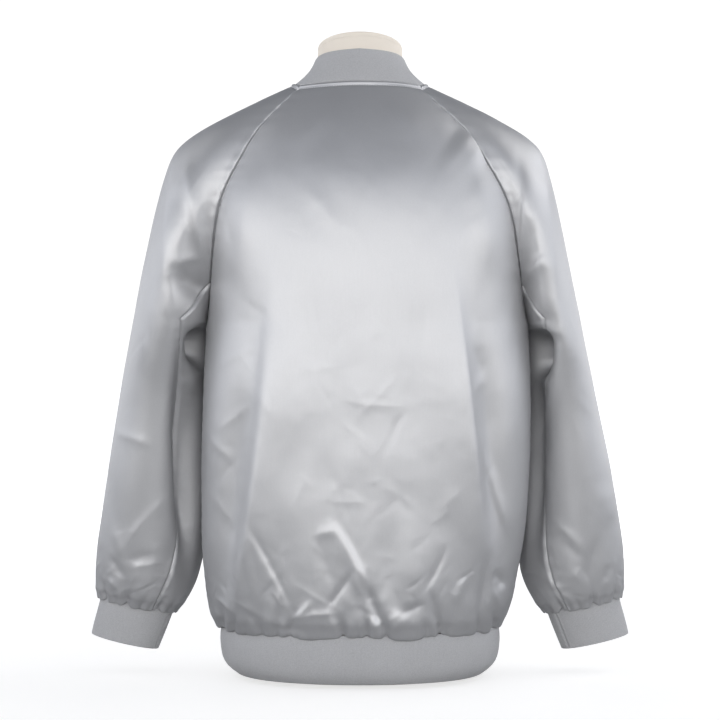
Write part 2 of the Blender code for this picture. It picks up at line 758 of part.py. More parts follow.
def satin_surfaces():
    """The satin panels by name, with their seam normals shared."""
    back = back_grid()
    panels = {"back": Surface(back, True, body_lift(back, BACK_FOLDS, BACK_GATHERS))}
    for side, word in SIDE_NAMES.items():
        front = front_grid(side)
        lift = body_lift(front, FRONT_FOLDS, FRONT_GATHERS, side)
        lift *= smooth_step((np.abs(front[..., 0]) - ZIP_HALF_GAP) / ZIP_CALM)
        panels["front_" + word] = Surface(front, side == LEFT, lift)
        places = upper_sleeve_places()
        grid = np.array([sleeve_row(level, side, rounds) for level, rounds in places])
        rounds = np.array([row for _, row in places])
        levels = np.array([np.full(SLEEVE_COLUMNS + 1, level) for level, _ in places])
        panels["sleeve_upper_" + word] = Surface(grid, side == RIGHT, sleeve_lift(rounds, levels))
        rows = under_sleeve_places()
        grid = np.array(
            [
                [under_sleeve_point(level, place, side, edge) for level, place, edge in zip(
                    levels, places, np.linspace(-1, 1, len(levels)))]
                for levels, places in rows
            ]
        )
        levels = np.array([row[0] for row in rows])
        rounds = np.array([row[1] for row in rows])
        lift = sleeve_lift(rounds % 1.0, levels)
        panels["sleeve_under_" + word] = Surface(grid, side == RIGHT, lift)
    for word in SIDE_NAMES.values():
        share_normals([panels["sleeve_upper_" + word], panels["sleeve_under_" + word]])
    share_normals([panels["back"], panels["front_left"], panels["front_right"]])
    share_normals(list(panels.values()))
    return panels


def ring_grid(table, rows, columns, side):
    """Closed rings of a sleeve's cuff, from its seam to its free edge."""
    rounds = np.linspace(0, 1, columns + 1)
    grid = []
    for share in np.linspace(0, 1, rows + 1):
        outer_x, outer_z, inner_x, inner_z, centre_y, half_depth = table.at(
            share, "outer_x", "outer_z", "inner_x", "inner_z", "centre_y", "half_depth"
        )
        middle = np.array([side * (outer_x + inner_x) / 2, centre_y, (outer_z + inner_z) / 2])
        reach = np.array([side * (outer_x - inner_x) / 2, 0, (outer_z - inner_z) / 2])
        angle = 2 * math.pi * rounds
        ring = middle - np.outer(np.cos(angle), reach)
        ring[:, 1] -= half_depth * np.sin(angle)
        ring[-1] = ring[0]
        grid.append(ring)
    return np.array(grid)


def build_cuffs(material):
    for side, word in SIDE_NAMES.items():
        grid = ring_grid(CUFF, CUFF_ROWS, CUFF_COLUMNS, side)
        surface = Surface(grid, side == LEFT)
        wall_object("cuff_" + word, surface, RIB_WALL, material, gap=EDGE_GAP)


def build_hem_band(material):
    """A band from one edge of the zip round the back to the other."""
    grid = []
    for drop in np.linspace(0, 1, HEM_ROWS + 1):
        z, half_width, back_y, front_y, seam_y = HEM_BAND.at(
            drop, "z", "half_width", "back_y", "front_y", "seam_y"
        )
        halves = {}
        for side in (LEFT, RIGHT):
            seam = np.array([side * half_width, seam_y, z])
            shares = np.linspace(0, 1, HEM_COLUMNS + 1)
            square = SECTION_SHAPE.rows[0, 1]
            back = section(np.array([0, back_y, z]), seam, square, 1.0, shares)
            whole = section(np.array([0, front_y, z]), seam, square, 1.0, np.linspace(0, 1, 49))
            start = np.interp(ZIP_HALF_GAP, np.abs(whole[:, 0]), np.linspace(0, 1, 49))
            front = section(
                np.array([0, front_y, z]), seam, square, 1.0, np.linspace(start, 1, HEM_COLUMNS // 2 + 1)
            )
            halves[side] = np.concatenate([front[:-1], back[::-1]])
        grid.append(np.concatenate([halves[LEFT][:-1], halves[RIGHT][::-1]]))
    wall_object("hem_band", Surface(np.array(grid), False), RIB_WALL, material, gap=EDGE_GAP)


def neckline(side):
    """The neck edge of one half from the zip to centre back, along the tops of front, sleeve and back."""
    front = front_grid(side)[-1]
    sleeve = sleeve_row(2.0, side, np.linspace(1, 0, SLEEVE_COLUMNS + 1))
    back = half_row(2.0, "back", side, np.linspace(1, 0, BACK_COLUMNS // 2 + 1))
    return np.concatenate([front, sleeve[1:], back[1:]])[::NECK_STEP]


def above_each(foot, line):
    """The line's points that lie in the same directions from the neck's axis as the foot's points."""
    turn = np.arctan2(np.abs(line[:, 0]), line[:, 1] - NECK_AXIS_Y)
    wanted = np.arctan2(np.abs(foot[:, 0]), foot[:, 1] - NECK_AXIS_Y)
    return np.stack([np.interp(wanted, turn, line[:, i]) for i in range(3)], axis=1)


def build_collar(material):
    """A standing rib collar on the neckline, open at the zip."""
    halves = {}
    for side in (LEFT, RIGHT):
        foot = neckline(side)
        dense = np.stack(COLLAR_TOP.at(np.linspace(0, 1, 97), "x", "y", "z"), axis=1)
        top = above_each(foot, dense * (side, 1, 1))
        rows = []
        for rise in np.linspace(0, 1, COLLAR_ROWS + 1):
            row = foot + (top - foot) * rise
            sideways = (row[:, 0] / np.abs(row[:, 0]).max()) ** 3
            row[:, 0] -= COLLAR_FLARE * sideways * math.sin(math.pi * rise)
            rows.append(row)
        halves[side] = np.array(rows)
    grid = np.concatenate([halves[LEFT][:, :-1], halves[RIGHT][:, ::-1]], axis=1)
    wall_object("collar", Surface(grid, True), RIB_WALL, material, gap=EDGE_GAP)


def zip_line():
    """The centre line of the closed fronts, from the hem's free edge to the neckline."""
    band = np.stack([np.zeros(HEM_ROWS), *HEM_BAND.at(np.linspace(1, 0, HEM_ROWS + 1)[:-1], "front_y", "z")])
    body = np.array([centre_point(level, "front") for level in body_levels()])
    return np.concatenate([band.T, body])


def strip_object(name, line, low_x, high_x, out, thick, material):
    """A flat strip that follows the zip's line between two distances from its middle."""
    grid = np.stack([line + (low_x, 0, 0), line + (high_x, 0, 0)], axis=1)
    return wall_object(name, Surface(grid, False), thick, material, out=out, gap=0.0)


def build_zip(tape_material, metal):
    line = zip_line()[1:-1]
    inside = -(RIB_WALL + TAPE_BEHIND)
    strip_object("zip_tape_right", line, SEAM_GAP / 2, TAPE_REACH, inside, TAPE_WALL, tape_material)
    strip_object("zip_tape_left", line, -TAPE_REACH, -SEAM_GAP / 2, inside, TAPE_WALL, tape_material)
    chain_out = inside + SEAM_GAP + CHAIN_THICK
    strip_object("zip_chain", line, -CHAIN_HALF_WIDTH, CHAIN_HALF_WIDTH, chain_out, CHAIN_THICK, metal)
    build_slider(chain_out, metal)


def slider_frame(chain_out):
    """Where the slider sits near the top of the zip: its own Z runs up the zip and its Y out of it."""
    body = np.array([centre_point(level, "front") for level in np.linspace(1.7, 2.0, 61)])
    length = np.cumsum(np.linalg.norm(np.diff(body[::-1], axis=0), axis=1))
    i = len(body) - 1 - int(np.searchsorted(length, SLIDER_DROP))
    up = Vector(body[i + 1] - body[i - 1]).normalized()
    out = Vector((1, 0, 0)).cross(up) * -1
    origin = Vector(body[i]) + out * (chain_out + SEAM_GAP)
    turn = Matrix((Vector((1, 0, 0)), out, up)).transposed().to_4x4()
    return Matrix.Translation(origin) @ turn


def box_mesh(low, high):
    made = bmesh.new()
    bmesh.ops.create_cube(made, size=1.0)
    for vertex in made.verts:
        vertex.co = [l + (c + 0.5) * (h - l) for c, l, h in zip(vertex.co, low, high)]
    return made


def object_from(made, name, material, matrix):
    mesh = bpy.data.meshes.new(name)
    bmesh.ops.recalc_face_normals(made, faces=made.faces)
    made.to_mesh(mesh)
    made.free()
    mesh.materials.append(material)
    thing = bpy.data.objects.new(name, mesh)
    thing.matrix_world = matrix
    bpy.context.scene.collection.objects.link(thing)
    return thing


def add_union(thing, other):
    joined = thing.modifiers.new("join", "BOOLEAN")
    joined.operation = "UNION"
    joined.object = other
    other.hide_render = True
    other.display_type = "WIRE"


# Slider sizes in its own frame: X across the zip, Y out of it, Z up it
SLIDER_HALF_WIDTH = 0.0046
SLIDER_TOP = 0.0065
SLIDER_FOOT = -0.0065
SLIDER_PLATE = 0.0018
LUG_IN = 0.0026
LUG_WIDE = 0.0011
LUG_REACH = 0.0052
PIN_Y = 0.0040
PIN_Z = 0.0005
BARREL_RADIUS = 0.0021
BORE_RADIUS = 0.0011
BARREL_HALF = 0.0023


def cylinder_along_x(radius, half_length, y, z, sides=16):
    made = bmesh.new()
    turn = Matrix.Translation((0, y, z)) @ Matrix.Rotation(math.pi / 2, 4, "Y")
    bmesh.ops.create_cone(
        made, cap_ends=True, segments=sides, radius1=radius, radius2=radius, depth=2 * half_length, matrix=turn
    )
    return made


def build_slider(chain_out, metal):
    """The slider with two lugs and a pin, and the pull tab whose barrel turns on the pin."""
    place = slider_frame(chain_out)
    body = box_mesh((-SLIDER_HALF_WIDTH, 0, SLIDER_FOOT), (SLIDER_HALF_WIDTH, SLIDER_PLATE, SLIDER_TOP))
    bmesh.ops.bevel(
        body, geom=[e for e in body.edges if abs((e.verts[0].co - e.verts[1].co).y) > 0], offset=0.0016,
        segments=3, affect="EDGES", profile=0.5,
    )
    slider = object_from(body, "zip_slider", metal, place)
    for side in (LEFT, RIGHT):
        near, far = side * LUG_IN, side * (LUG_IN + LUG_WIDE)
        low = (min(near, far), SLIDER_PLATE - 0.0004, PIN_Z - 0.0022)
        high = (max(near, far), LUG_REACH, PIN_Z + 0.0022)
        lug = object_from(box_mesh(low, high), f"slider_lug_{SIDE_NAMES[side]}", metal, place)
        add_union(slider, lug)
    pin = cylinder_along_x(PIN_RADIUS, LUG_IN + LUG_WIDE / 2, PIN_Y, PIN_Z)
    add_union(slider, object_from(pin, "slider_pin", metal, place))

    hinge = place @ Matrix.Translation((0, PIN_Y, PIN_Z))
    barrel = cylinder_along_x(BARREL_RADIUS, BARREL_HALF, 0, 0)
    pull = object_from(barrel, "zip_pull", metal, hinge)
    plate = box_mesh(
        (-PULL_WIDTH / 2, -PULL_THICK / 2, -PULL_LENGTH), (PULL_WIDTH / 2, PULL_THICK / 2, -0.0050)
    )
    bmesh.ops.bevel(
        plate, geom=[e for e in plate.edges if abs((e.verts[0].co - e.verts[1].co).y) > 0], offset=0.0022,
        segments=3, affect="EDGES", profile=0.5,
    )
    add_union(pull, object_from(plate, "pull_plate", metal, hinge))
    neck = box_mesh((-BARREL_HALF, -PULL_THICK / 2, -0.0062), (BARREL_HALF, PULL_THICK / 2, -0.0016))
    add_union(pull, object_from(neck, "pull_neck", metal, hinge))
    bore = object_from(
        cylinder_along_x(BORE_RADIUS, BARREL_HALF + 0.002, 0, 0), "pull_bore", metal, hinge
    )
    cut = pull.modifiers.new("bore", "BOOLEAN")
    cut.operation = "DIFFERENCE"
    cut.object = bore
    bore.hide_render = True
    bore.display_type = "WIRE"


def form_ring(z, inset=0.0):
    """One section of the dress form, its neck tilted so that the nape stands higher than the throat."""
    half_width, back_y, front_y, square = FORM.at(z, "half_width", "back_y", "front_y", "square")
    angle = 2 * math.pi * np.arange(FORM_SIDES) / FORM_SIDES
    power = 2 / square
    across, along = np.sin(angle), -np.cos(angle)
    x = np.sign(across) * np.abs(across) ** power * (half_width - inset)
    depth = np.sign(along) * np.abs(along) ** power
    y = (back_y + front_y) / 2 + depth * ((front_y - back_y) / 2 - inset)
    tilt = NECK_TOP_TILT * np.clip((z - NECK_TILT_START_Z) / (FORM.rows[-1, 0] - NECK_TILT_START_Z), 0, 1)
    height = z - tilt * (y - (back_y + front_y) / 2)
    return np.stack([x, y, height], axis=1)


def lofted_object(name, rings, material):
    """A closed solid through rings of equal count, with flat ends."""
    count = len(rings[0])
    faces = []
    for r in range(len(rings) - 1):
        for i in range(count):
            j = (i + 1) % count
            faces.append([r * count + i, r * count + j, (r + 1) * count + j, (r + 1) * count + i])
    faces.append(list(range(count))[::-1])
    faces.append([(len(rings) - 1) * count + i for i in range(count)])
    return mesh_object(name, np.concatenate(rings), faces, material)


def build_form(linen):
    rings = [form_ring(0.0, FORM_FOOT_ROUND)] + [form_ring(z) for z in FORM_HEIGHTS[1:]]
    lofted_object("form_torso", rings, linen)
    top_z = FORM.rows[-1, 0]
    low = form_ring(top_z) + (0, 0, SEAM_GAP)
    wide = low + (0, 0, NECK_CAP_THICK - NECK_CAP_ROUND)
    mid = form_ring(top_z, NECK_CAP_ROUND * 0.3) + (0, 0, SEAM_GAP + NECK_CAP_THICK - NECK_CAP_ROUND * 0.3)
    high = form_ring(top_z, NECK_CAP_ROUND) + (0, 0, SEAM_GAP + NECK_CAP_THICK)
    lofted_object("form_neck_cap", [low, wide, mid, high], linen)


def clear_scene():
    for thing in list(bpy.data.objects):
        bpy.data.objects.remove(thing)


def main():
    clear_scene()
    satin = finish_material("silver satin", (0.52, 0.53, 0.55), 0.32, 0.3)
    rib = finish_material("grey rib knit", (0.36, 0.36, 0.365), 0.85)
    tape = finish_material("grey zip tape", (0.30, 0.30, 0.31), 0.8)
    metal = finish_material("nickel", (0.60, 0.60, 0.60), 0.3, 1.0)
    linen = finish_material("cream linen", (0.78, 0.70, 0.60), 0.9)
    for name, surface in satin_surfaces().items():
        wall_object(name, surface, SATIN_WALL, satin)
    build_cuffs(rib)
    build_hem_band(rib)
    build_collar(rib)
    build_zip(tape, metal)
    build_form(linen)


main()
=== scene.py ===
"""Looks of a silver satin bomber jacket, zipped up on a limbless dress form.

Metres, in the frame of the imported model: +X is the wearer's right, +Y the jacket's front, +Z up.
"""

import math

import bpy
import numpy as np
from bpy.props import FloatProperty, FloatVectorProperty, IntProperty, PointerProperty
from bpy.types import Operator, Panel, PropertyGroup
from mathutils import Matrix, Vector, noise


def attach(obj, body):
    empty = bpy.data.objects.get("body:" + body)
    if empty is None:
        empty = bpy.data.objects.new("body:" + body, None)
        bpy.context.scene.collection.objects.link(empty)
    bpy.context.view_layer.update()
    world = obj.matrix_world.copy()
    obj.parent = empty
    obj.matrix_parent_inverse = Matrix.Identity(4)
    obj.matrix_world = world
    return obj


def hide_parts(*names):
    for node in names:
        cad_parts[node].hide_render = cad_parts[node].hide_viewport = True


bl_info = {
    "name": "Satin Bomber Jacket",
    "version": (1, 0, 0),
    "blender": (4, 5, 0),
    "location": "View3D > Sidebar > Jacket",
    "description": "Cuts, sews and lights a satin bomber jacket on its dress form",
    "category": "Object",
}

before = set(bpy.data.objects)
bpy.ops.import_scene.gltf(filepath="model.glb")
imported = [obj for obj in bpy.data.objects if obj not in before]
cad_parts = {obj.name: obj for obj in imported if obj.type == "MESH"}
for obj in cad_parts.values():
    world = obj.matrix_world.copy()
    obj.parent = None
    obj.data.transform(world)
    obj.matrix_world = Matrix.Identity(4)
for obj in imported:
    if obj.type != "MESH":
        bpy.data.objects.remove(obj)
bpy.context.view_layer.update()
JACKET = "jacket_on_form"

RIGHT = 1
LEFT = -1
SIDE_NAMES = {RIGHT: "right", LEFT: "left"}

HEM_SEAM_Z = 0.065
UNDERARM_Z = 0.430
BACK_NECK_Z = 0.722
FRONT_NECK_Z = 0.645
UNDER_SLEEVE_SHARE = 0.17
UNDER_SLEEVE_TOP = 0.20
ARM_BLEND = 0.16
ZIP_HALF_GAP = 0.0065
ZIP_CALM = 0.030
RIB_WALL = 0.0030
TAPE_BEHIND = 0.0012
SLEEVE_HANG = 0.0062
STITCH_GAP = 0.0010
NECK_STITCH_IN = 0.0066
ZIP_STITCH_IN = 0.0060
TOOTH_THICK = 0.0024
TOOTH_SINK = 0.0003
TOOTH_GAP = 0.0003
TOOTH_DRAWN_PITCH = 0.0017
TOP_LEVEL = 2.0
HEM_DROOP = 0.0052

LOWER_ROWS = 170
CAP_ROWS = 110
ARM_ROWS = 170
BACK_COLUMNS = 232
FRONT_COLUMNS = 104
SLEEVE_COLUMNS = 124
ROW_CROWDING = 1.25
NECK_CROWDING = 1.35
SEAM_CROWDING = 4.5
RIB_ROWS = 14
COLLAR_COLUMNS = 1300
HEM_COLUMNS = 2400
CUFF_COLUMNS = 640
FORM_ROWS = 88
FRONT_POINTS = 49
NECK_POINTS = 55
NECK_FRONT_COLUMNS = 42
ZIP_POINTS = 400
BAND_POINTS = 193

BACK_SEED = 5
FRONT_SEED = 8
SLEEVE_SEED = 23
# Small creases scattered over a cut, by the number that goes into their seed: how many, over which box,
# how far they lean and how strong they are
BODY_SCATTER = {
    0: (110, (-0.17, 0.17, 0.075, 0.56), 0.25, 0.6),
    1: (46, (-0.17, 0.17, 0.076, 0.150), 0.3, 1.4),
}
SLEEVE_SCATTER = {
    12: (80, (0.01, 0.35, 0.015, 0.62), 0.2, 0.7),
    31: (30, (0.01, 0.35, 0.012, 0.080), 0.3, 1.7),
}
# Waves of the cloth: how close they lie across and upwards, the way they are shifted, and their height
WAVES = (
    (21, 3.2, 1, 0.0009),
    (15, 12, -1, 0.0008),
    (38, 24, 1, 0.0003),
    (95, 62, -1, 0.00008),
)


def smooth_step(share):
    share = np.clip(share, 0, 1)
    return share * share * (3 - 2 * share)


def bell(at, middle, width):
    """1 at the middle, and falling off to either side over a width."""
    return np.exp(-(((at - middle) / width) ** 2))


def spline(knots, values, at):
    """Natural cubic spline through rows of values at the knots, read at the stations in at."""
    count = len(knots)
    steps = np.diff(knots)
    slopes = np.diff(values, axis=0) / steps[:, None]
    system = np.eye(count)
    bends = np.zeros_like(values)
    for i in range(1, count - 1):
        system[i, i - 1 : i + 2] = steps[i - 1], 2 * (steps[i - 1] + steps[i]), steps[i]
        bends[i] = 6 * (slopes[i] - slopes[i - 1])
    bends = np.linalg.solve(system, bends)
    at = np.asarray(at, float)
    i = np.clip(np.searchsorted(knots, at, side="right") - 1, 0, count - 2)
    step = steps[i][..., None]
    before = (at - knots[i])[..., None]
    after = step - before
    cubic = (bends[i] * after**3 + bends[i + 1] * before**3) / (6 * step)
    start = (values[i] / step - bends[i] * step / 6) * after
    end = (values[i + 1] / step - bends[i + 1] * step / 6) * before
    return cubic + start + end


def cubic_between(t, start, leave, end, arrive):
    """The cubic from start to end that leaves and arrives with the given slopes."""
    return (
        start * (2 * t**3 - 3 * t**2 + 1)
        + leave * (t**3 - 2 * t**2 + t)
        + end * (3 * t**2 - 2 * t**3)
        + arrive * (t**3 - t**2)
    )


def run_along(line):
    """Distance of each point of a line from its first."""
    return np.concatenate([[0], np.cumsum(np.linalg.norm(np.diff(line, axis=0), axis=1))])


def points_at(stations, run, line):
    """Points of a line at stations of its run."""
    return np.stack([np.interp(stations, run, line[:, i]) for i in range(3)], axis=-1)


def by_length(line, count):
    """A line's points at even distances."""
    run = run_along(line)
    return points_at(np.linspace(0, run[-1], count), run, line)


class Table:
    """Rows with named columns. Any column can be read as a smooth curve of the first one."""

    def __init__(self, columns, rows):
        self.columns = columns.split()
        self.rows = np.array(rows, float)

    def at(self, station, *names):
        picked = [self.columns.index(name) for name in names]
        found = spline(self.rows[:, 0], self.rows[:, picked], station)
        return np.moveaxis(found, -1, 0) if len(names) > 1 else found[..., 0]

    def each(self):
        return [dict(zip(self.columns, row)) for row in self.rows]


SIDE_SEAM = Table(
    "z half_width seam_y shift",
    [
        (0.0650, 0.1700, -0.012, -0.001),
        (0.0774, 0.1806, -0.013, -0.001),
        (0.0921, 0.1868, -0.014, 0.000),
        (0.1167, 0.1911, -0.016, 0.001),
        (0.1536, 0.1957, -0.020, 0.003),
        (0.2150, 0.1994, -0.024, 0.006),
        (0.2810, 0.2009, -0.026, 0.0075),
        (0.3380, 0.2003, -0.026, 0.0085),
        (0.3950, 0.1985, -0.020, 0.009),
        (0.4300, 0.1975, -0.012, 0.009),
    ],
)
CENTRE_LINE = Table(
    "z back_y front_y",
    [
        (0.0650, -0.1340, 0.1340),
        (0.0774, -0.1405, 0.1400),
        (0.0921, -0.1435, 0.1430),
        (0.1167, -0.1450, 0.1445),
        (0.1536, -0.1455, 0.1450),
        (0.2810, -0.1455, 0.1460),
        (0.3950, -0.1450, 0.1460),
        (0.4300, -0.1445, 0.1455),
        (0.5000, -0.1435, 0.1425),
        (0.5600, -0.1390, 0.1330),
        (0.6000, -0.1325, 0.1180),
        (0.6450, -0.1185, 0.0850),
        (0.6900, -0.0985, 0.0450),
        (0.7220, -0.0780, 0.0150),
    ],
)
RAGLAN = Table(
    "share back_x back_y back_z front_x front_y front_z",
    [
        (0.00, 0.1975, -0.0120, 0.430, 0.1975, -0.0120, 0.430),
        (0.10, 0.1920, -0.0360, 0.455, 0.1945, 0.0120, 0.449),
        (0.20, 0.1880, -0.0555, 0.479, 0.1905, 0.0330, 0.470),
        (0.30, 0.1840, -0.0715, 0.507, 0.1860, 0.0520, 0.496),
        (0.40, 0.1795, -0.0825, 0.539, 0.1800, 0.0655, 0.527),
        (0.52, 0.1705, -0.0890, 0.577, 0.1695, 0.0730, 0.563),
        (0.60, 0.1595, -0.0905, 0.602, 0.1600, 0.0725, 0.586),
        (0.68, 0.1470, -0.0895, 0.625, 0.1475, 0.0675, 0.607),
        (0.80, 0.1250, -0.0830, 0.662, 0.1220, 0.0520, 0.645),
        (0.90, 0.0990, -0.0720, 0.691, 0.0960, 0.0330, 0.674),
        (1.00, 0.0713, -0.0600, 0.718, 0.0680, 0.0120, 0.700),
    ],
)
SECTION_SHAPE = Table(
    "level square quarter",
    [
        (0.0, 2.35, 1.00),
        (1.0, 2.35, 1.00),
        (1.2, 2.30, 0.90),
        (1.5, 2.20, 0.74),
        (2.0, 2.10, 0.62),
    ],
)
SLEEVE_CAP = Table(
    "share top_x top_y top_z back_x back_y back_z front_x front_y front_z",
    [
        (0.00, 0.2730, 0.000, 0.4520, 0.2360, -0.0820, 0.4410, 0.2360, 0.0850, 0.4410),
        (0.10, 0.2665, -0.001, 0.4850, 0.2310, -0.0865, 0.4700, 0.2315, 0.0870, 0.4680),
        (0.20, 0.2600, -0.001, 0.5160, 0.2260, -0.0900, 0.4990, 0.2265, 0.0885, 0.4960),
        (0.30, 0.2530, -0.002, 0.5470, 0.2205, -0.0920, 0.5290, 0.2210, 0.0885, 0.5240),
        (0.40, 0.2450, -0.003, 0.5800, 0.2140, -0.0915, 0.5610, 0.2140, 0.0860, 0.5550),
        (0.52, 0.2345, -0.005, 0.6170, 0.2045, -0.0870, 0.6000, 0.2035, 0.0785, 0.5910),
        (0.60, 0.2270, -0.006, 0.6370, 0.1945, -0.0820, 0.6235, 0.1935, 0.0715, 0.6130),
        (0.68, 0.2120, -0.008, 0.6550, 0.1815, -0.0765, 0.6440, 0.1800, 0.0625, 0.6330),
        (0.80, 0.1720, -0.012, 0.6800, 0.1500, -0.0650, 0.6760, 0.1490, 0.0425, 0.6670),
        (0.90, 0.1240, -0.016, 0.7030, 0.1130, -0.0550, 0.7010, 0.1120, 0.0220, 0.6930),
        (1.00, 0.0795, -0.020, 0.7235, 0.0770, -0.0420, 0.7225, 0.0755, -0.0020, 0.7140),
    ],
)
ARM = Table(
    "share outer_x outer_z inner_x inner_y inner_z centre_y half_depth",
    [
        (0.00, 0.3225, 0.0960, 0.2320, 0.020, 0.0770, 0.020, 0.0300),
        (0.04, 0.3280, 0.1030, 0.2220, 0.021, 0.0830, 0.020, 0.0420),
        (0.10, 0.3300, 0.1160, 0.2110, 0.024, 0.0985, 0.019, 0.0490),
        (0.18, 0.3290, 0.1370, 0.2030, 0.030, 0.1200, 0.018, 0.0530),
        (0.35, 0.3225, 0.1900, 0.1965, 0.036, 0.1750, 0.015, 0.0580),
        (0.55, 0.3075, 0.2790, 0.1965, 0.036, 0.2600, 0.011, 0.0660),
        (0.75, 0.2900, 0.3700, 0.1985, 0.026, 0.3480, 0.006, 0.0745),
        (0.90, 0.2790, 0.4220, 0.2000, 0.004, 0.4020, 0.000, 0.0805),
        (1.00, 0.2730, 0.4520, 0.1975, -0.012, 0.4300, -0.001, 0.0835),
    ],
)
SLEEVE_SWAY = Table(
    "level shift",
    [
        (0.0, 0.0000),
        (0.4, -0.0005),
        (0.7, -0.0025),
        (1.0, -0.0040),
        (1.3, -0.0040),
        (1.6, -0.0025),
        (1.8, -0.0008),
        (2.0, 0.0000),
    ],
)
CUFF = Table(
    "share outer_x outer_z inner_x inner_z centre_y half_depth",
    [
        (0.00, 0.3225, 0.0960, 0.2320, 0.0770, 0.020, 0.0300),
        (0.35, 0.3268, 0.0790, 0.2385, 0.0600, 0.020, 0.0285),
        (0.70, 0.3315, 0.0620, 0.2455, 0.0425, 0.020, 0.0270),
        (1.00, 0.3350, 0.0475, 0.2515, 0.0280, 0.020, 0.0260),
    ],
)
# Share of the way round a cuff at which it is sewn shut
CUFF_SEAMS = {RIGHT: 0.08, LEFT: 0.05}
HEM_BAND = Table(
    "drop z half_width back_y front_y seam_y",
    [
        (0.00, 0.0644, 0.1700, -0.1340, 0.1340, -0.012),
        (0.30, 0.0480, 0.1715, -0.1350, 0.1350, -0.012),
        (0.55, 0.0340, 0.1705, -0.1345, 0.1345, -0.011),
        (0.75, 0.0215, 0.1675, -0.1325, 0.1325, -0.009),
        (0.90, 0.0120, 0.1605, -0.1285, 0.1285, -0.006),
        (1.00, 0.0055, 0.1520, -0.1240, 0.1240, -0.004),
    ],
)
COLLAR_TOP = Table(
    "share x y z",
    [
        (0.00, 0.0065, 0.0640, 0.6890),
        (0.25, 0.0375, 0.0480, 0.7060),
        (0.50, 0.0562, 0.0060, 0.7430),
        (0.75, 0.0450, -0.0440, 0.7590),
        (1.00, 0.0000, -0.0600, 0.7630),
    ],
)
NECK_AXIS_Y = 0.002
COLLAR_FLARE = 0.0040
FORM = Table(
    "z half_width back_y front_y square",
    [
        (0.000, 0.1300, -0.100, 0.100, 2.3),
        (0.040, 0.1460, -0.112, 0.112, 2.3),
        (0.080, 0.1560, -0.118, 0.116, 2.3),
        (0.140, 0.1600, -0.120, 0.116, 2.3),
        (0.220, 0.1520, -0.112, 0.106, 2.2),
        (0.290, 0.1480, -0.106, 0.102, 2.2),
        (0.370, 0.1560, -0.114, 0.112, 2.2),
        (0.450, 0.1680, -0.121, 0.120, 2.2),
        (0.520, 0.1770, -0.122, 0.116, 2.2),
        (0.570, 0.1860, -0.114, 0.102, 2.2),
        (0.605, 0.1930, -0.104, 0.086, 2.2),
        (0.632, 0.1900, -0.092, 0.064, 2.1),
        (0.652, 0.1700, -0.084, 0.048, 2.0),
        (0.670, 0.1400, -0.077, 0.033, 2.0),
        (0.688, 0.1020, -0.070, 0.024, 1.9),
        (0.706, 0.0680, -0.063, 0.024, 1.9),
        (0.722, 0.0540, -0.058, 0.031, 2.0),
        (0.740, 0.0522, -0.055, 0.036, 2.0),
        (0.757, 0.0522, -0.053, 0.037, 2.0),
        (0.766, 0.0520, -0.0525, 0.0375, 2.0),
    ],
)
NECK_TOP_TILT = 0.31
NECK_TILT_START_Z = 0.740
NECK_CAP_THICK = 0.0060
NECK_CAP_ROUND = 0.0022
NECK_CAP_GAP = 0.0001
EDGE_RING = 0.0005
# Heights of the rings at the form's foot, and how far each is drawn in
FORM_FOOT = ((0.0, 0.004), (0.0005, 0.002), (0.0015, 0.0), (0.004, 0.0), (0.008, 0.0))
FORM_FOOT_TOP = 0.016

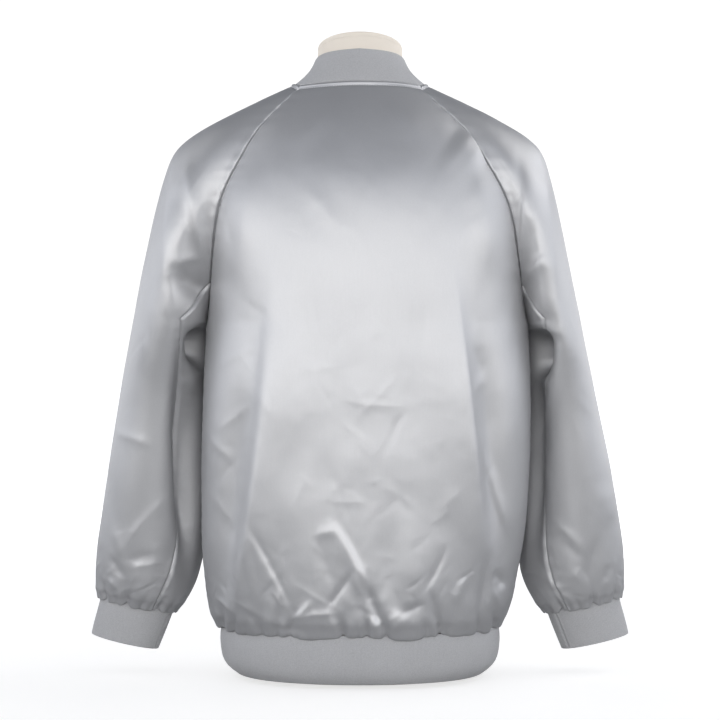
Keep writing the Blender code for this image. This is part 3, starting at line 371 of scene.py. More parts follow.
# Folds and creases. Each runs from one point to another with a sideways bow, and stands out by its height or
# sinks in. sharp 0 is a soft wave and 1 a pressed edge; skew widens the flank on its left-hand side.
CREASE_COLUMNS = "x0 z0 x1 z1 bow half_width height sharp skew"
BACK_CREASES = Table(
    CREASE_COLUMNS,
    [
        (-0.096, 0.500, -0.152, 0.060, 0.0090, 0.0240, 0.0078, 0.15, 0.5),
        (-0.114, 0.330, -0.152, 0.060, 0.0030, 0.0060, 0.0011, 0.6, 0.4),
        (-0.138, 0.380, -0.172, 0.060, 0.0020, 0.0170, -0.0072, 0.1, 0.0),
        (-0.144, 0.175, -0.142, 0.080, 0.0000, 0.0045, 0.0008, 0.5, 0.0),
        (-0.131, 0.198, -0.075, 0.085, 0.0010, 0.0034, -0.0011, 0.6, 0.4),
        (-0.136, 0.193, -0.081, 0.083, 0.0010, 0.0050, 0.0005, 0.4, -0.3),
        (-0.055, 0.109, -0.082, 0.080, 0.0020, 0.0042, 0.0013, 0.6, 0.0),
        (-0.038, 0.204, 0.012, 0.104, 0.0040, 0.0085, 0.0026, 0.3, -0.5),
        (-0.056, 0.181, -0.022, 0.188, 0.0020, 0.0070, 0.0008, 0.4, 0.0),
        (-0.050, 0.180, -0.028, 0.112, 0.0000, 0.0080, -0.0009, 0.3, 0.0),
        (-0.006, 0.146, -0.043, 0.093, 0.0020, 0.0044, -0.0013, 0.7, 0.0),
        (-0.010, 0.142, 0.004, 0.108, 0.0000, 0.0044, 0.0011, 0.6, 0.0),
        (-0.085, 0.082, -0.018, 0.091, 0.0030, 0.0060, 0.0010, 0.5, 0.0),
        (-0.001, 0.140, 0.034, 0.056, 0.0010, 0.0065, -0.0025, 0.5, 0.0),
        (0.102, 0.172, 0.072, 0.112, 0.0030, 0.0046, -0.0013, 0.7, -0.4),
        (0.082, 0.122, 0.097, 0.064, 0.0000, 0.0048, -0.0018, 0.7, 0.0),
        (0.043, 0.087, 0.080, 0.103, 0.0020, 0.0050, -0.0013, 0.6, 0.0),
        (0.030, 0.082, 0.062, 0.084, 0.0000, 0.0110, 0.0016, 0.1, 0.0),
        (0.154, 0.165, 0.140, 0.072, 0.0000, 0.0060, -0.0022, 0.5, 0.0),
        (0.104, 0.510, 0.150, 0.100, 0.0010, 0.0220, 0.0062, 0.2, -0.5),
        (0.110, 0.500, 0.146, 0.170, 0.0010, 0.0055, 0.0019, 0.7, -0.4),
        (0.142, 0.440, 0.172, 0.110, 0.0010, 0.0170, -0.0095, 0.1, 0.0),
        (0.150, 0.282, 0.182, 0.170, 0.0000, 0.0060, 0.0022, 0.5, 0.4),
        (0.158, 0.118, 0.171, 0.084, 0.0000, 0.0050, 0.0018, 0.7, 0.0),
        (0.160, 0.138, 0.177, 0.112, 0.0000, 0.0070, -0.0022, 0.4, 0.0),
        (0.124, 0.136, 0.108, 0.096, 0.0000, 0.0060, 0.0012, 0.5, 0.0),
        (0.050, 0.332, 0.027, 0.276, 0.0020, 0.0050, -0.0004, 0.6, 0.0),
        (-0.026, 0.342, 0.058, 0.333, -0.0030, 0.0045, 0.0003, 0.5, 0.0),
        (0.056, 0.336, 0.029, 0.294, 0.0020, 0.0045, -0.0002, 0.6, 0.0),
        (0.124, 0.244, 0.085, 0.208, 0.0030, 0.0065, 0.0004, 0.5, 0.0),
        (0.109, 0.216, 0.082, 0.194, 0.0000, 0.0055, 0.0004, 0.5, 0.0),
        (0.033, 0.215, 0.030, 0.080, 0.0000, 0.0160, -0.0013, 0.0, 0.0),
        (0.061, 0.230, 0.057, 0.090, 0.0000, 0.0180, 0.0010, 0.0, 0.0),
        (-0.085, 0.260, -0.062, 0.120, 0.0000, 0.0220, 0.0009, 0.0, 0.0),
        (-0.045, 0.224, 0.004, 0.220, 0.0000, 0.0060, 0.0003, 0.5, 0.0),
        (-0.040, 0.220, -0.028, 0.246, 0.0000, 0.0055, 0.0003, 0.6, 0.0),
        (-0.184, 0.300, -0.150, 0.260, 0.0000, 0.0055, 0.0004, 0.5, 0.0),
        (-0.184, 0.234, -0.150, 0.186, 0.0000, 0.0055, 0.0004, 0.5, 0.0),
        (-0.182, 0.370, -0.108, 0.408, 0.0030, 0.0060, 0.0004, 0.5, 0.0),
        (-0.174, 0.300, -0.128, 0.338, 0.0000, 0.0060, 0.0004, 0.5, 0.0),
        (0.136, 0.406, 0.147, 0.362, 0.0000, 0.0070, -0.0008, 0.5, 0.0),
        (0.129, 0.345, 0.150, 0.366, 0.0000, 0.0060, 0.0005, 0.6, 0.0),
        (-0.130, 0.640, -0.146, 0.470, 0.0000, 0.0170, 0.0020, 0.2, 0.0),
        (-0.150, 0.580, -0.162, 0.440, 0.0000, 0.0120, -0.0014, 0.1, 0.0),
        (0.132, 0.645, 0.158, 0.480, 0.0000, 0.0170, 0.0026, 0.2, 0.0),
        (0.108, 0.652, 0.152, 0.622, 0.0000, 0.0260, 0.0042, 0.0, 0.0),
        (-0.070, 0.595, -0.018, 0.530, 0.0030, 0.0120, 0.0008, 0.3, 0.0),
        (0.024, 0.695, 0.082, 0.648, 0.0030, 0.0120, 0.0010, 0.3, 0.0),
        (-0.024, 0.690, -0.082, 0.632, -0.0030, 0.0130, 0.0008, 0.3, 0.0),
        (-0.178, 0.103, -0.145, 0.085, 0.0000, 0.0060, 0.0018, 0.6, 0.0),
        (-0.135, 0.093, -0.112, 0.063, 0.0000, 0.0050, -0.0013, 0.6, 0.0),
    ],
)
FRONT_CREASES = Table(
    CREASE_COLUMNS,
    [
        (-0.100, 0.530, -0.150, 0.085, 0.0060, 0.0150, 0.0051, 0.4, 0.5),
        (-0.136, 0.350, -0.164, 0.100, 0.0020, 0.0110, -0.0047, 0.2, 0.0),
        (0.098, 0.545, 0.146, 0.085, 0.0040, 0.0150, 0.0051, 0.4, -0.5),
        (0.134, 0.370, 0.164, 0.110, 0.0010, 0.0110, -0.0047, 0.2, 0.0),
        (-0.095, 0.205, -0.050, 0.085, 0.0030, 0.0043, 0.0020, 0.6, 0.2),
        (0.088, 0.190, 0.046, 0.080, 0.0020, 0.0043, 0.0021, 0.6, -0.2),
        (-0.062, 0.165, -0.085, 0.100, 0.0000, 0.0036, -0.0015, 0.7, 0.0),
        (0.064, 0.150, 0.096, 0.095, 0.0000, 0.0036, -0.0015, 0.7, 0.0),
        (-0.124, 0.150, -0.112, 0.080, 0.0000, 0.0040, -0.0020, 0.6, 0.0),
        (0.126, 0.160, 0.116, 0.078, 0.0000, 0.0040, -0.0020, 0.6, 0.0),
        (-0.030, 0.420, -0.090, 0.385, 0.0020, 0.0050, 0.0007, 0.5, 0.0),
        (0.028, 0.300, 0.084, 0.275, 0.0020, 0.0050, 0.0006, 0.5, 0.0),
        (0.030, 0.510, 0.080, 0.470, 0.0020, 0.0080, 0.0008, 0.4, 0.0),
        (-0.032, 0.250, -0.076, 0.236, 0.0000, 0.0050, 0.0006, 0.5, 0.0),
        (-0.026, 0.600, -0.070, 0.560, 0.0020, 0.0100, 0.0010, 0.3, 0.0),
        (0.026, 0.610, 0.074, 0.575, 0.0020, 0.0100, 0.0010, 0.3, 0.0),
        (-0.130, 0.560, -0.144, 0.450, 0.0000, 0.0130, 0.0020, 0.2, 0.0),
        (0.130, 0.560, 0.144, 0.450, 0.0000, 0.0130, 0.0020, 0.2, 0.0),
        (-0.176, 0.300, -0.156, 0.275, 0.0000, 0.0043, 0.0008, 0.5, 0.0),
        (0.176, 0.260, 0.158, 0.232, 0.0000, 0.0043, 0.0008, 0.5, 0.0),
        (-0.172, 0.120, -0.158, 0.090, 0.0000, 0.0043, 0.0017, 0.6, 0.0),
        (0.170, 0.125, 0.158, 0.088, 0.0000, 0.0043, 0.0017, 0.6, 0.0),
    ],
)

# Gathers into the hem band: a short trough that widens and leans as it rises
GATHER_COLUMNS = "x rise lean half_width depth"
BACK_GATHERS = Table(
    GATHER_COLUMNS,
    [
        (-0.1640, 0.030, -0.004, 0.0040, 0.0028),
        (-0.1506, 0.022, 0.005, 0.0032, 0.0025),
        (-0.1350, 0.014, 0.001, 0.0028, 0.0012),
        (-0.1155, 0.020, -0.005, 0.0032, 0.0021),
        (-0.0979, 0.018, 0.003, 0.0030, 0.0021),
        (-0.0827, 0.030, 0.008, 0.0034, 0.0026),
        (-0.0744, 0.014, -0.002, 0.0026, 0.0016),
        (-0.0480, 0.012, 0.002, 0.0032, 0.0009),
        (-0.0193, 0.022, -0.006, 0.0034, 0.0034),
        (-0.0022, 0.012, 0.000, 0.0027, 0.0016),
        (0.0082, 0.026, -0.003, 0.0034, 0.0029),
        (0.0306, 0.034, -0.014, 0.0035, 0.0030),
        (0.0520, 0.010, 0.002, 0.0032, 0.0007),
        (0.0756, 0.018, 0.004, 0.0030, 0.0022),
        (0.0830, 0.016, 0.002, 0.0026, 0.0019),
        (0.0944, 0.030, -0.006, 0.0034, 0.0032),
        (0.1010, 0.014, 0.005, 0.0029, 0.0022),
        (0.1220, 0.012, 0.001, 0.0032, 0.0010),
        (0.1401, 0.045, 0.004, 0.0038, 0.0029),
        (0.1600, 0.028, 0.003, 0.0035, 0.0029),
    ],
)
FRONT_GATHERS = Table(
    GATHER_COLUMNS,
    [
        (0.0260, 0.020, 0.003, 0.0032, 0.0019),
        (0.0400, 0.030, 0.005, 0.0034, 0.0026),
        (0.0560, 0.014, -0.002, 0.0029, 0.0014),
        (0.0700, 0.026, 0.004, 0.0034, 0.0026),
        (0.0830, 0.016, 0.001, 0.0029, 0.0016),
        (0.0960, 0.034, 0.006, 0.0035, 0.0029),
        (0.1140, 0.018, -0.002, 0.0032, 0.0019),
        (0.1300, 0.030, 0.004, 0.0035, 0.0026),
        (0.1440, 0.020, 0.002, 0.0032, 0.0020),
        (0.1580, 0.028, 0.003, 0.0035, 0.0025),
    ],
)
# Where the satin droops over the hem band between its gathers
HEM_DROOPS = Table(
    "x half_width drop",
    [
        (-0.150, 0.014, 0.0010),
        (-0.056, 0.026, 0.0036),
        (0.055, 0.021, 0.0040),
        (0.118, 0.016, 0.0012),
        (0.152, 0.012, 0.0015),
    ],
)

# Creases of the sleeves' backs, and of their fronts for a right sleeve
SLEEVE_BACK_CREASES = {
    LEFT: Table(
        CREASE_COLUMNS,
        [
            (-0.2204, 0.680, -0.2170, 0.310, -0.0117, 0.0190, 0.0055, 0.8, 0.0),
            (-0.2130, 0.440, -0.2050, 0.080, -0.0020, 0.0125, -0.0230, 0.15, 0.0),
            (-0.1990, 0.632, -0.2260, 0.575, 0.0000, 0.0070, 0.0014, 0.5, 0.0),
            (-0.2065, 0.630, -0.1780, 0.474, -0.0045, 0.0090, 0.0031, 0.6, 0.3),
            (-0.2075, 0.600, -0.2030, 0.490, 0.0000, 0.0090, -0.0024, 0.2, 0.0),
            (-0.2310, 0.501, -0.1880, 0.511, 0.0000, 0.0065, 0.0018, 0.5, 0.3),
            (-0.2230, 0.494, -0.1840, 0.462, 0.0000, 0.0120, -0.0039, 0.1, 0.0),
            (-0.2120, 0.418, -0.1760, 0.428, 0.0020, 0.0060, 0.0035, 0.5, 0.0),
            (-0.1920, 0.432, -0.1860, 0.372, 0.0000, 0.0120, -0.0420, 0.1, 0.0),
            (-0.2110, 0.355, -0.1920, 0.359, 0.0000, 0.0090, 0.0022, 0.1, 0.0),
            (-0.2110, 0.280, -0.1890, 0.180, 0.0000, 0.0060, 0.0012, 0.5, 0.0),
            (-0.2060, 0.186, -0.1910, 0.174, 0.0000, 0.0080, 0.0013, 0.1, 0.0),
            (-0.3080, 0.302, -0.2420, 0.281, 0.0000, 0.0060, 0.0006, 0.5, 0.0),
            (-0.2230, 0.231, -0.2930, 0.148, -0.0050, 0.0075, 0.0012, 0.5, 0.3),
            (-0.3020, 0.184, -0.2900, 0.142, 0.0000, 0.0060, 0.0008, 0.4, 0.0),
            (-0.2890, 0.141, -0.2490, 0.152, 0.0000, 0.0075, -0.0017, 0.4, 0.0),
            (-0.2680, 0.135, -0.2880, 0.100, 0.0000, 0.0050, 0.0012, 0.6, 0.0),
            (-0.3080, 0.148, -0.2890, 0.117, 0.0000, 0.0060, -0.0016, 0.4, 0.0),
            (-0.3110, 0.118, -0.2950, 0.102, 0.0000, 0.0055, 0.0011, 0.5, 0.0),
            (-0.2360, 0.140, -0.2230, 0.106, 0.0000, 0.0060, 0.0013, 0.4, 0.0),
            (-0.2830, 0.130, -0.2380, 0.139, 0.0020, 0.0050, 0.0010, 0.6, 0.0),
        ],
    ),
    RIGHT: Table(
        CREASE_COLUMNS,
        [
            (0.2140, 0.680, 0.2430, 0.380, -0.0020, 0.0180, 0.0053, 0.8, 0.0),
            (0.2410, 0.440, 0.2300, 0.310, 0.0030, 0.0120, 0.0028, 0.6, 0.0),
            (0.2150, 0.640, 0.2190, 0.590, 0.0000, 0.0065, -0.0020, 0.3, 0.0),
            (0.1900, 0.640, 0.1902, 0.525, 0.0000, 0.0080, -0.0022, 0.3, 0.0),
            (0.1960, 0.600, 0.1905, 0.485, 0.0000, 0.0060, 0.0018, 0.5, 0.0),
            (0.2050, 0.560, 0.2100, 0.490, 0.0000, 0.0085, -0.0027, 0.2, 0.0),
            (0.2220, 0.515, 0.1930, 0.478, 0.0000, 0.0070, 0.0027, 0.5, 0.3),
            (0.2000, 0.426, 0.2440, 0.416, 0.0030, 0.0060, 0.0035, 0.5, 0.0),
            (0.2140, 0.430, 0.2100, 0.360, 0.0000, 0.0130, -0.0400, 0.1, 0.0),
            (0.2110, 0.420, 0.2080, 0.110, 0.0000, 0.0125, -0.0230, 0.15, 0.0),
            (0.2350, 0.362, 0.2020, 0.240, 0.0000, 0.0060, 0.0021, 0.5, 0.0),
            (0.2135, 0.292, 0.2300, 0.230, 0.0000, 0.0055, 0.0011, 0.5, 0.0),
            (0.2300, 0.195, 0.2830, 0.141, 0.0030, 0.0060, 0.0013, 0.6, 0.0),
            (0.2450, 0.168, 0.2740, 0.140, 0.0000, 0.0060, -0.0009, 0.5, 0.0),
            (0.2900, 0.176, 0.2770, 0.106, 0.0000, 0.0090, -0.0017, 0.3, 0.0),
            (0.3060, 0.138, 0.3005, 0.112, 0.0000, 0.0055, -0.0013, 0.5, 0.0),
            (0.2610, 0.131, 0.2760, 0.107, 0.0000, 0.0050, 0.0013, 0.6, 0.0),
            (0.2240, 0.121, 0.2520, 0.102, 0.0000, 0.0060, 0.0013, 0.5, 0.0),
            (0.2960, 0.240, 0.3080, 0.180, 0.0000, 0.0120, 0.0011, 0.2, 0.0),
        ],
    ),
}
SLEEVE_FRONT_CREASES = Table(
    CREASE_COLUMNS,
    [
        (0.2160, 0.670, 0.2400, 0.360, 0.0040, 0.0180, 0.0050, 0.8, 0.0),
        (0.2360, 0.480, 0.2200, 0.130, 0.0030, 0.0090, -0.0095, 0.3, 0.0),
        (0.2020, 0.610, 0.1860, 0.490, 0.0040, 0.0090, 0.0028, 0.6, 0.0),
        (0.2220, 0.500, 0.1900, 0.482, 0.0000, 0.0080, 0.0021, 0.4, 0.0),
        (0.2060, 0.425, 0.2360, 0.412, 0.0000, 0.0070, 0.0028, 0.5, 0.0),
        (0.2100, 0.420, 0.2060, 0.360, 0.0000, 0.0150, -0.0160, 0.1, 0.0),
        (0.2940, 0.310, 0.2480, 0.285, 0.0000, 0.0065, 0.0006, 0.5, 0.0),
        (0.2280, 0.226, 0.2920, 0.150, 0.0050, 0.0075, 0.0012, 0.5, 0.0),
        (0.2880, 0.142, 0.2560, 0.152, 0.0000, 0.0075, -0.0016, 0.4, 0.0),
        (0.2660, 0.136, 0.2820, 0.104, 0.0000, 0.0055, 0.0012, 0.5, 0.0),
        (0.2380, 0.138, 0.2280, 0.108, 0.0000, 0.0060, 0.0012, 0.4, 0.0),
        (0.3080, 0.150, 0.2960, 0.112, 0.0000, 0.0065, -0.0015, 0.4, 0.0),
    ],
)
# Gathers into the cuffs by shares: round 0 is the inside, 0.25 the back, 0.5 the outside, 0.75 the front;
# round_m is the way round in metres, to the nearest tenth of a millimetre
SLEEVE_ROUND_M = 0.36
SLEEVE_UP_M = 0.37
CUFF_GATHERS = Table(
    "round round_m rise lean half_width depth",
    [
        (0.030, 0.0108, 0.06, 0.006, 0.0044, 0.0013),
        (0.090, 0.0324, 0.08, 0.010, 0.0040, 0.0013),
        (0.146, 0.0526, 0.11, 0.012, 0.0044, 0.0030),
        (0.187, 0.0673, 0.07, -0.006, 0.0036, 0.0015),
        (0.224, 0.0806, 0.10, -0.012, 0.0040, 0.0018),
        (0.285, 0.1026, 0.12, 0.014, 0.0044, 0.0032),
        (0.331, 0.1192, 0.08, 0.010, 0.0040, 0.0017),
        (0.390, 0.1404, 0.10, 0.012, 0.0044, 0.0028),
        (0.450, 0.1620, 0.07, 0.000, 0.0040, 0.0013),
        (0.510, 0.1836, 0.10, -0.006, 0.0044, 0.0016),
        (0.575, 0.2070, 0.08, 0.006, 0.0040, 0.0015),
        (0.640, 0.2304, 0.11, -0.010, 0.0044, 0.0030),
        (0.700, 0.2520, 0.07, 0.006, 0.0040, 0.0014),
        (0.755, 0.2718, 0.11, 0.010, 0.0044, 0.0030),
        (0.820, 0.2952, 0.08, -0.008, 0.0040, 0.0015),
        (0.885, 0.3186, 0.10, -0.006, 0.0044, 0.0015),
        (0.950, 0.3420, 0.07, 0.000, 0.0040, 0.0012),
    ],
)

# Light panels stand in an arc before the back and the front, by turn and share of their power;
# two more hang over the sides
PANEL_DISTANCE = 2.9
PANEL_Z = 0.60
PANEL_AIM = (0.0, 0.0, 0.45)
PANEL_SIZE = (1.5, 0.8)
PANEL_TURNS = {-42: 1.1, 0: 1.1, 42: 0.8}
OVERHEAD_PLACE = (1.9, 0.5, 2.0)
OVERHEAD_AIM = (0.0, 0.0, 0.6)
OVERHEAD_SIZE = (1.5, 1.5)
OVERHEAD_POWER = {LEFT: 6.0, RIGHT: 17.0}
LAMP_COLOUR = (1.0, 0.99, 0.975)
FLOOR_REACH = 30.0
FLOOR_SIDES = 96
FLOOR_DROP = 0.0004
SENSOR_WIDTH = 36.0


class JacketSizes(PropertyGroup):
    """Sizes of the cloth, the knit, the sewing and the zip."""

    seam_dip: FloatProperty(
        name="Seam dip", description="How deep the satin sinks at a seam", default=0.0027, unit="LENGTH"
    )
    rib_pitch: FloatProperty(
        name="Rib pitch", description="Width of one rib of the knit", default=0.0016, unit="LENGTH"
    )
    rib_depth: FloatProperty(
        name="Rib depth", description="Height of one rib of the knit", default=0.00009, unit="LENGTH"
    )
    stitch_length: FloatProperty(
        name="Stitch", description="Length of one stitch", default=0.0020, unit="LENGTH"
    )
    thread: FloatProperty(
        name="Thread", description="Thickness of the sewing thread", default=0.0008, unit="LENGTH"
    )
    tooth_pitch: FloatProperty(
        name="Tooth pitch", description="Distance between the zip's teeth", default=0.0017, unit="LENGTH"
    )
    form_sides: IntProperty(
        name="Form sides", description="Points round a section of the dress form", default=128, min=16
    )


class JacketColours(PropertyGroup):
    """Colours of the finishes."""

    satin: FloatVectorProperty(
        name="Satin", description="Silver-grey satin", subtype="COLOR", default=(0.585, 0.585, 0.593)
    )
    rib: FloatVectorProperty(
        name="Rib", description="Grey rib knit", subtype="COLOR", default=(0.50, 0.50, 0.507)
    )
    tape: FloatVectorProperty(
        name="Tape", description="Woven tape of the zip", subtype="COLOR", default=(0.30, 0.30, 0.31)
    )
    metal: FloatVectorProperty(
        name="Metal", description="Nickel of the zip", subtype="COLOR", default=(0.62, 0.61, 0.60)
    )
    cover: FloatVectorProperty(
        name="Cover", description="Cover of the dress form", subtype="COLOR", default=(0.97, 0.89, 0.78)
    )


class StageSettings(PropertyGroup):
    """Camera, floor and light."""

    camera_distance: FloatProperty(
        name="Camera distance", description="From the origin, behind the back", default=2.4, unit="LENGTH"
    )
    camera_height: FloatProperty(
        name="Camera height", description="Above the floor", default=0.387, unit="LENGTH"
    )
    lens: FloatProperty(name="Lens", description="Focal length in millimetres", default=96.85)
    # The floor's own colour is grey; it looks pale through a painted glow that only the camera sees
    floor: FloatVectorProperty(
        name="Floor", description="Pale studio floor", subtype="COLOR", default=(0.42, 0.42, 0.42)
    )
    panel_power: FloatProperty(
        name="Panel power", description="Power of each light panel behind the camera in watts", default=6.9
    )
    front_power: FloatProperty(
        name="Front power", description="Power of each light panel before the front in watts", default=7.0
    )


# Body panels

def lower_levels():
    return (np.arange(LOWER_ROWS + 1) / LOWER_ROWS) ** ROW_CROWDING


def crowded(count, ends):
    """Shares from 0 to 1, closer together at the ends that are sewn."""
    even = np.linspace(0, 1, 2001)
    weight = 1 + SEAM_CROWDING * sum(np.exp(-np.abs(even - end) / 0.02) for end in ends)
    run = np.concatenate([[0], np.cumsum((weight[1:] + weight[:-1]) / 2)])
    return np.interp(np.linspace(0, run[-1], count + 1), run, even)


def cap_shares():
    """Shares of the way from the underarm to the neck: even beside the under sleeve, closer at the neck."""
    tip_rows = round(UNDER_SLEEVE_TOP * CAP_ROWS)
    tip = np.arange(tip_rows) / tip_rows * UNDER_SLEEVE_TOP
    rest = np.arange(CAP_ROWS - tip_rows + 1) / (CAP_ROWS - tip_rows)
    cap = UNDER_SLEEVE_TOP + (1 - UNDER_SLEEVE_TOP) * (1 - (1 - rest) ** NECK_CROWDING)
    return np.concatenate([tip, cap])


def body_levels():
    return np.concatenate([lower_levels(), 1 + cap_shares()[1:]])


def seam_point(level, face, side):
    """A body panel's edge: the side seam up to level 1, then the raglan seam of that face."""
    if level <= 1:
        z = HEM_SEAM_Z + (UNDERARM_Z - HEM_SEAM_Z) * level
        half_width, seam_y, shift = SIDE_SEAM.at(z, "half_width", "seam_y", "shift")
        return np.array([shift + side * half_width, seam_y, z])
    x, y, z = RAGLAN.at(level - 1, face + "_x", face + "_y", face + "_z")
    lean = SIDE_SEAM.rows[-1, 3] * (2 - level)
    return np.array([lean + side * x, y, z])


def centre_point(level, face):
    """The centre line of the back or the front at a level."""
    z = seam_point(level, face, RIGHT)[2]
    if level > 1:
        top = BACK_NECK_Z if face == "back" else FRONT_NECK_Z
        corner = RAGLAN.rows[-1, RAGLAN.columns.index(face + "_z")]
        z = UNDERARM_Z + (top - UNDERARM_Z) * (z - UNDERARM_Z) / (corner - UNDERARM_Z)
    return np.array([0.0, CENTRE_LINE.at(z, face + "_y"), z])


def section(centre, seam, square, quarter, shares):
    """Points from the centre to the seam along part of a rounded corner, at even distances."""
    angle = np.linspace(0, 1, 257) * quarter * math.pi / 2
    power = 2 / square
    across = np.sin(angle) ** power
    depth = 1 - np.cos(angle).clip(0) ** power
    across /= across[-1]
    depth /= depth[-1]
    dense = np.stack(
        [
            centre[0] + (seam[0] - centre[0]) * across,
            centre[1] + (seam[1] - centre[1]) * depth,
            centre[2] + (seam[2] - centre[2]) * across**2,
        ],
        axis=1,
    )
    run = run_along(dense)
    return points_at(np.asarray(shares) * run[-1], run, dense)


def half_row(level, face, side, shares):
    square, quarter = SECTION_SHAPE.at(level, "square", "quarter")
    quarter = 1.0 if level <= 1 else quarter
    return section(centre_point(level, face), seam_point(level, face, side), square, quarter, shares)


def back_grid():
    shares = crowded(BACK_COLUMNS // 2, [1])
    rows = []
    for level in body_levels():
        left = half_row(level, "back", LEFT, shares)[::-1]
        right = half_row(level, "back", RIGHT, shares)
        rows.append(np.concatenate([left[:-1], right]))
    return np.array(rows)


def front_row(level, side, columns):
    """One row of a front, from the zip's edge to the side seam."""
    shares = np.linspace(0, 1, FRONT_POINTS)
    whole = half_row(level, "front", side, shares)
    start = np.interp(ZIP_HALF_GAP, np.abs(whole[:, 0]), shares)
    return half_row(level, "front", side, start + (1 - start) * crowded(columns, [0, 1]))


def front_grid(side):
    return np.array([front_row(level, side, FRONT_COLUMNS) for level in body_levels()])


# Sleeves

def arm_inside(level, side):
    """The inside of an arm at a level, against the body."""
    inner_x, inner_y, inner_z = ARM.at(level, "inner_x", "inner_y", "inner_z")
    lean = SIDE_SEAM.at(inner_z, "shift") * smooth_step((inner_z - 0.10) / 0.08)
    return np.array([side * inner_x + lean, inner_y, inner_z])


def arm_outside(level, side):
    """The back, outside and front of a sleeve at a level."""
    sway = SLEEVE_SWAY.at(level, "shift")
    if level <= 1:
        inner = arm_inside(level, side)
        outer_x, outer_z, centre_y, half_depth = ARM.at(level, "outer_x", "outer_z", "centre_y", "half_depth")
        outer = np.array([side * outer_x + sway, centre_y, outer_z])
        middle = (inner + outer) / 2
        back = np.array([middle[0], centre_y - half_depth, middle[2]])
        front = np.array([middle[0], centre_y + half_depth, middle[2]])
        return np.array([back, outer, front])
    columns = [line + axis for line in ("back", "top", "front") for axis in ("_x", "_y", "_z")]
    points = np.array(SLEEVE_CAP.at(level - 1, *columns)).reshape(3, 3)
    points[:, 0] = side * points[:, 0] + sway
    return points


def sleeve_controls(level, side):
    """Five points round a sleeve section: seam at the back, back, outside, front, seam at the front."""
    low, high = 1 - ARM_BLEND, 1 + ARM_BLEND
    if low < level < high:
        span, step = high - low, 0.01
        start, end = arm_outside(low, side), arm_outside(high, side)
        leave = (start - arm_outside(low - step, side)) * span / step
        arrive = (arm_outside(high + step, side) - end) * span / step
        middle = cubic_between((level - low) / span, start, leave, end, arrive)
    else:
        middle = arm_outside(level, side)
    if level <= 1:
        inner = arm_inside(level, side)
        return np.array([inner, *middle, inner])
    return np.array([seam_point(level, "back", side), *middle, seam_point(level, "front", side)])


def sleeve_row(level, side, rounds):
    """Points round a sleeve section at the given shares of the way round."""
    points = sleeve_controls(level, side)
    opened = smooth_step((level - 1) / UNDER_SLEEVE_TOP)
    ring = math.pi * (points[1] - points[3])
    first = (1 - opened) * ring + opened * 4 * (points[1] - points[0])
    last = (1 - opened) * ring + opened * 4 * (points[4] - points[3])
    step = 0.25
    right = 3 * (points[2:] - points[:-2]) / step
    right[0] -= first
    right[2] -= last
    inner = np.linalg.solve(np.array([[4, 1, 0], [1, 4, 1], [0, 1, 4]], float), right)
    slopes = np.concatenate([[first], inner, [last]]) * step
    rounds = np.asarray(rounds, float)
    i = np.clip((rounds / step).astype(int), 0, 3)
    t = (rounds / step - i)[:, None]
    return cubic_between(t, points[i], slopes[i], points[i + 1], slopes[i + 1])


def under_seam_round(level):
    """Share of the way round at which the under sleeve's back seam runs."""
    if level <= 1:
        return UNDER_SLEEVE_SHARE * (1 - 0.19 * smooth_step(level / 0.5) * smooth_step((1 - level) / 0.35))
    return UNDER_SLEEVE_SHARE * max(0.0, 1 - (level - 1) / UNDER_SLEEVE_TOP)


def arm_levels():
    return (np.arange(ARM_ROWS + 1) / ARM_ROWS) ** ROW_CROWDING


def upper_sleeve_places():
    """Levels and shares of the way round of an upper sleeve's points."""
    levels = np.concatenate([arm_levels(), 1 + cap_shares()[1:]])
    shares = crowded(SLEEVE_COLUMNS, [0, 1])
    rounds = []
    for level in levels:
        seam = under_seam_round(level)
        rounds.append(seam + (1 - 2 * seam) * shares)
    return np.repeat(levels[:, None], SLEEVE_COLUMNS + 1, axis=1), np.array(rounds)


def under_sleeve_places():
    """Levels and signed shares from the inside of an under sleeve's points; the top row is the armhole."""
    tip_rows = round(UNDER_SLEEVE_TOP * CAP_ROWS)
    across = np.arange(-tip_rows, tip_rows + 1) / tip_rows
    levels = [np.full(len(across), level) for level in arm_levels()]
    places = [across * under_seam_round(level) for level in arm_levels()]
    for tip in range(1, tip_rows + 1):
        rise = tip / tip_rows
        levels.append(1 + rise * np.abs(across) * UNDER_SLEEVE_TOP)
        places.append(across * UNDER_SLEEVE_SHARE * (1 - rise))
    return np.array(levels), np.array(places)


def under_sleeve_grid(side):
    levels, places = under_sleeve_places()
    middle = levels.shape[1] // 2
    grid = np.empty(levels.shape + (3,))
    for r in range(len(levels)):
        rounds = np.where(np.arange(levels.shape[1]) > middle, places[r], 1 + places[r])
        if levels[r, 0] <= 1:
            grid[r] = sleeve_row(levels[r, 0], side, rounds)
        else:
            for c, share in enumerate(rounds):
                grid[r, c] = sleeve_row(levels[r, c], side, [share])[0]
    return grid


# Folds

def crease_lift(a, b, start, end, bow, half_width, height, sharp, skew):
    """Lift of one crease over the plane of a and b."""
    dx, dy = end[0] - start[0], end[1] - start[1]
    length = math.hypot(dx, dy)
    along = ((a - start[0]) * dx + (b - start[1]) * dy) / length**2
    off = ((b - start[1]) * dx - (a - start[0]) * dy) / length - bow * 4 * along * (1 - along)
    width = half_width * (1 + skew * np.tanh(2 * off / half_width))
    soft = bell(off, 0, width)
    edge = 0.12 * half_width
    pressed = np.exp(-(np.sqrt(off**2 + edge**2) - edge) / (0.75 * width))
    fade = smooth_step((along + 0.04) / 0.45) * smooth_step((1.04 - along) / 0.45)
    return height * ((1 - sharp) * soft + sharp * pressed) * fade


def creases_lift(x, z, creases, mirrored=1):
    """Lift of all the creases of a table."""
    lift = np.zeros(x.shape)
    for c in creases.each():
        start, end = (mirrored * c["x0"], c["z0"]), (mirrored * c["x1"], c["z1"])
        bow, skew = mirrored * c["bow"], mirrored * c["skew"]
        lift += crease_lift(x, z, start, end, bow, c["half_width"], c["height"], c["sharp"], skew)
    return lift


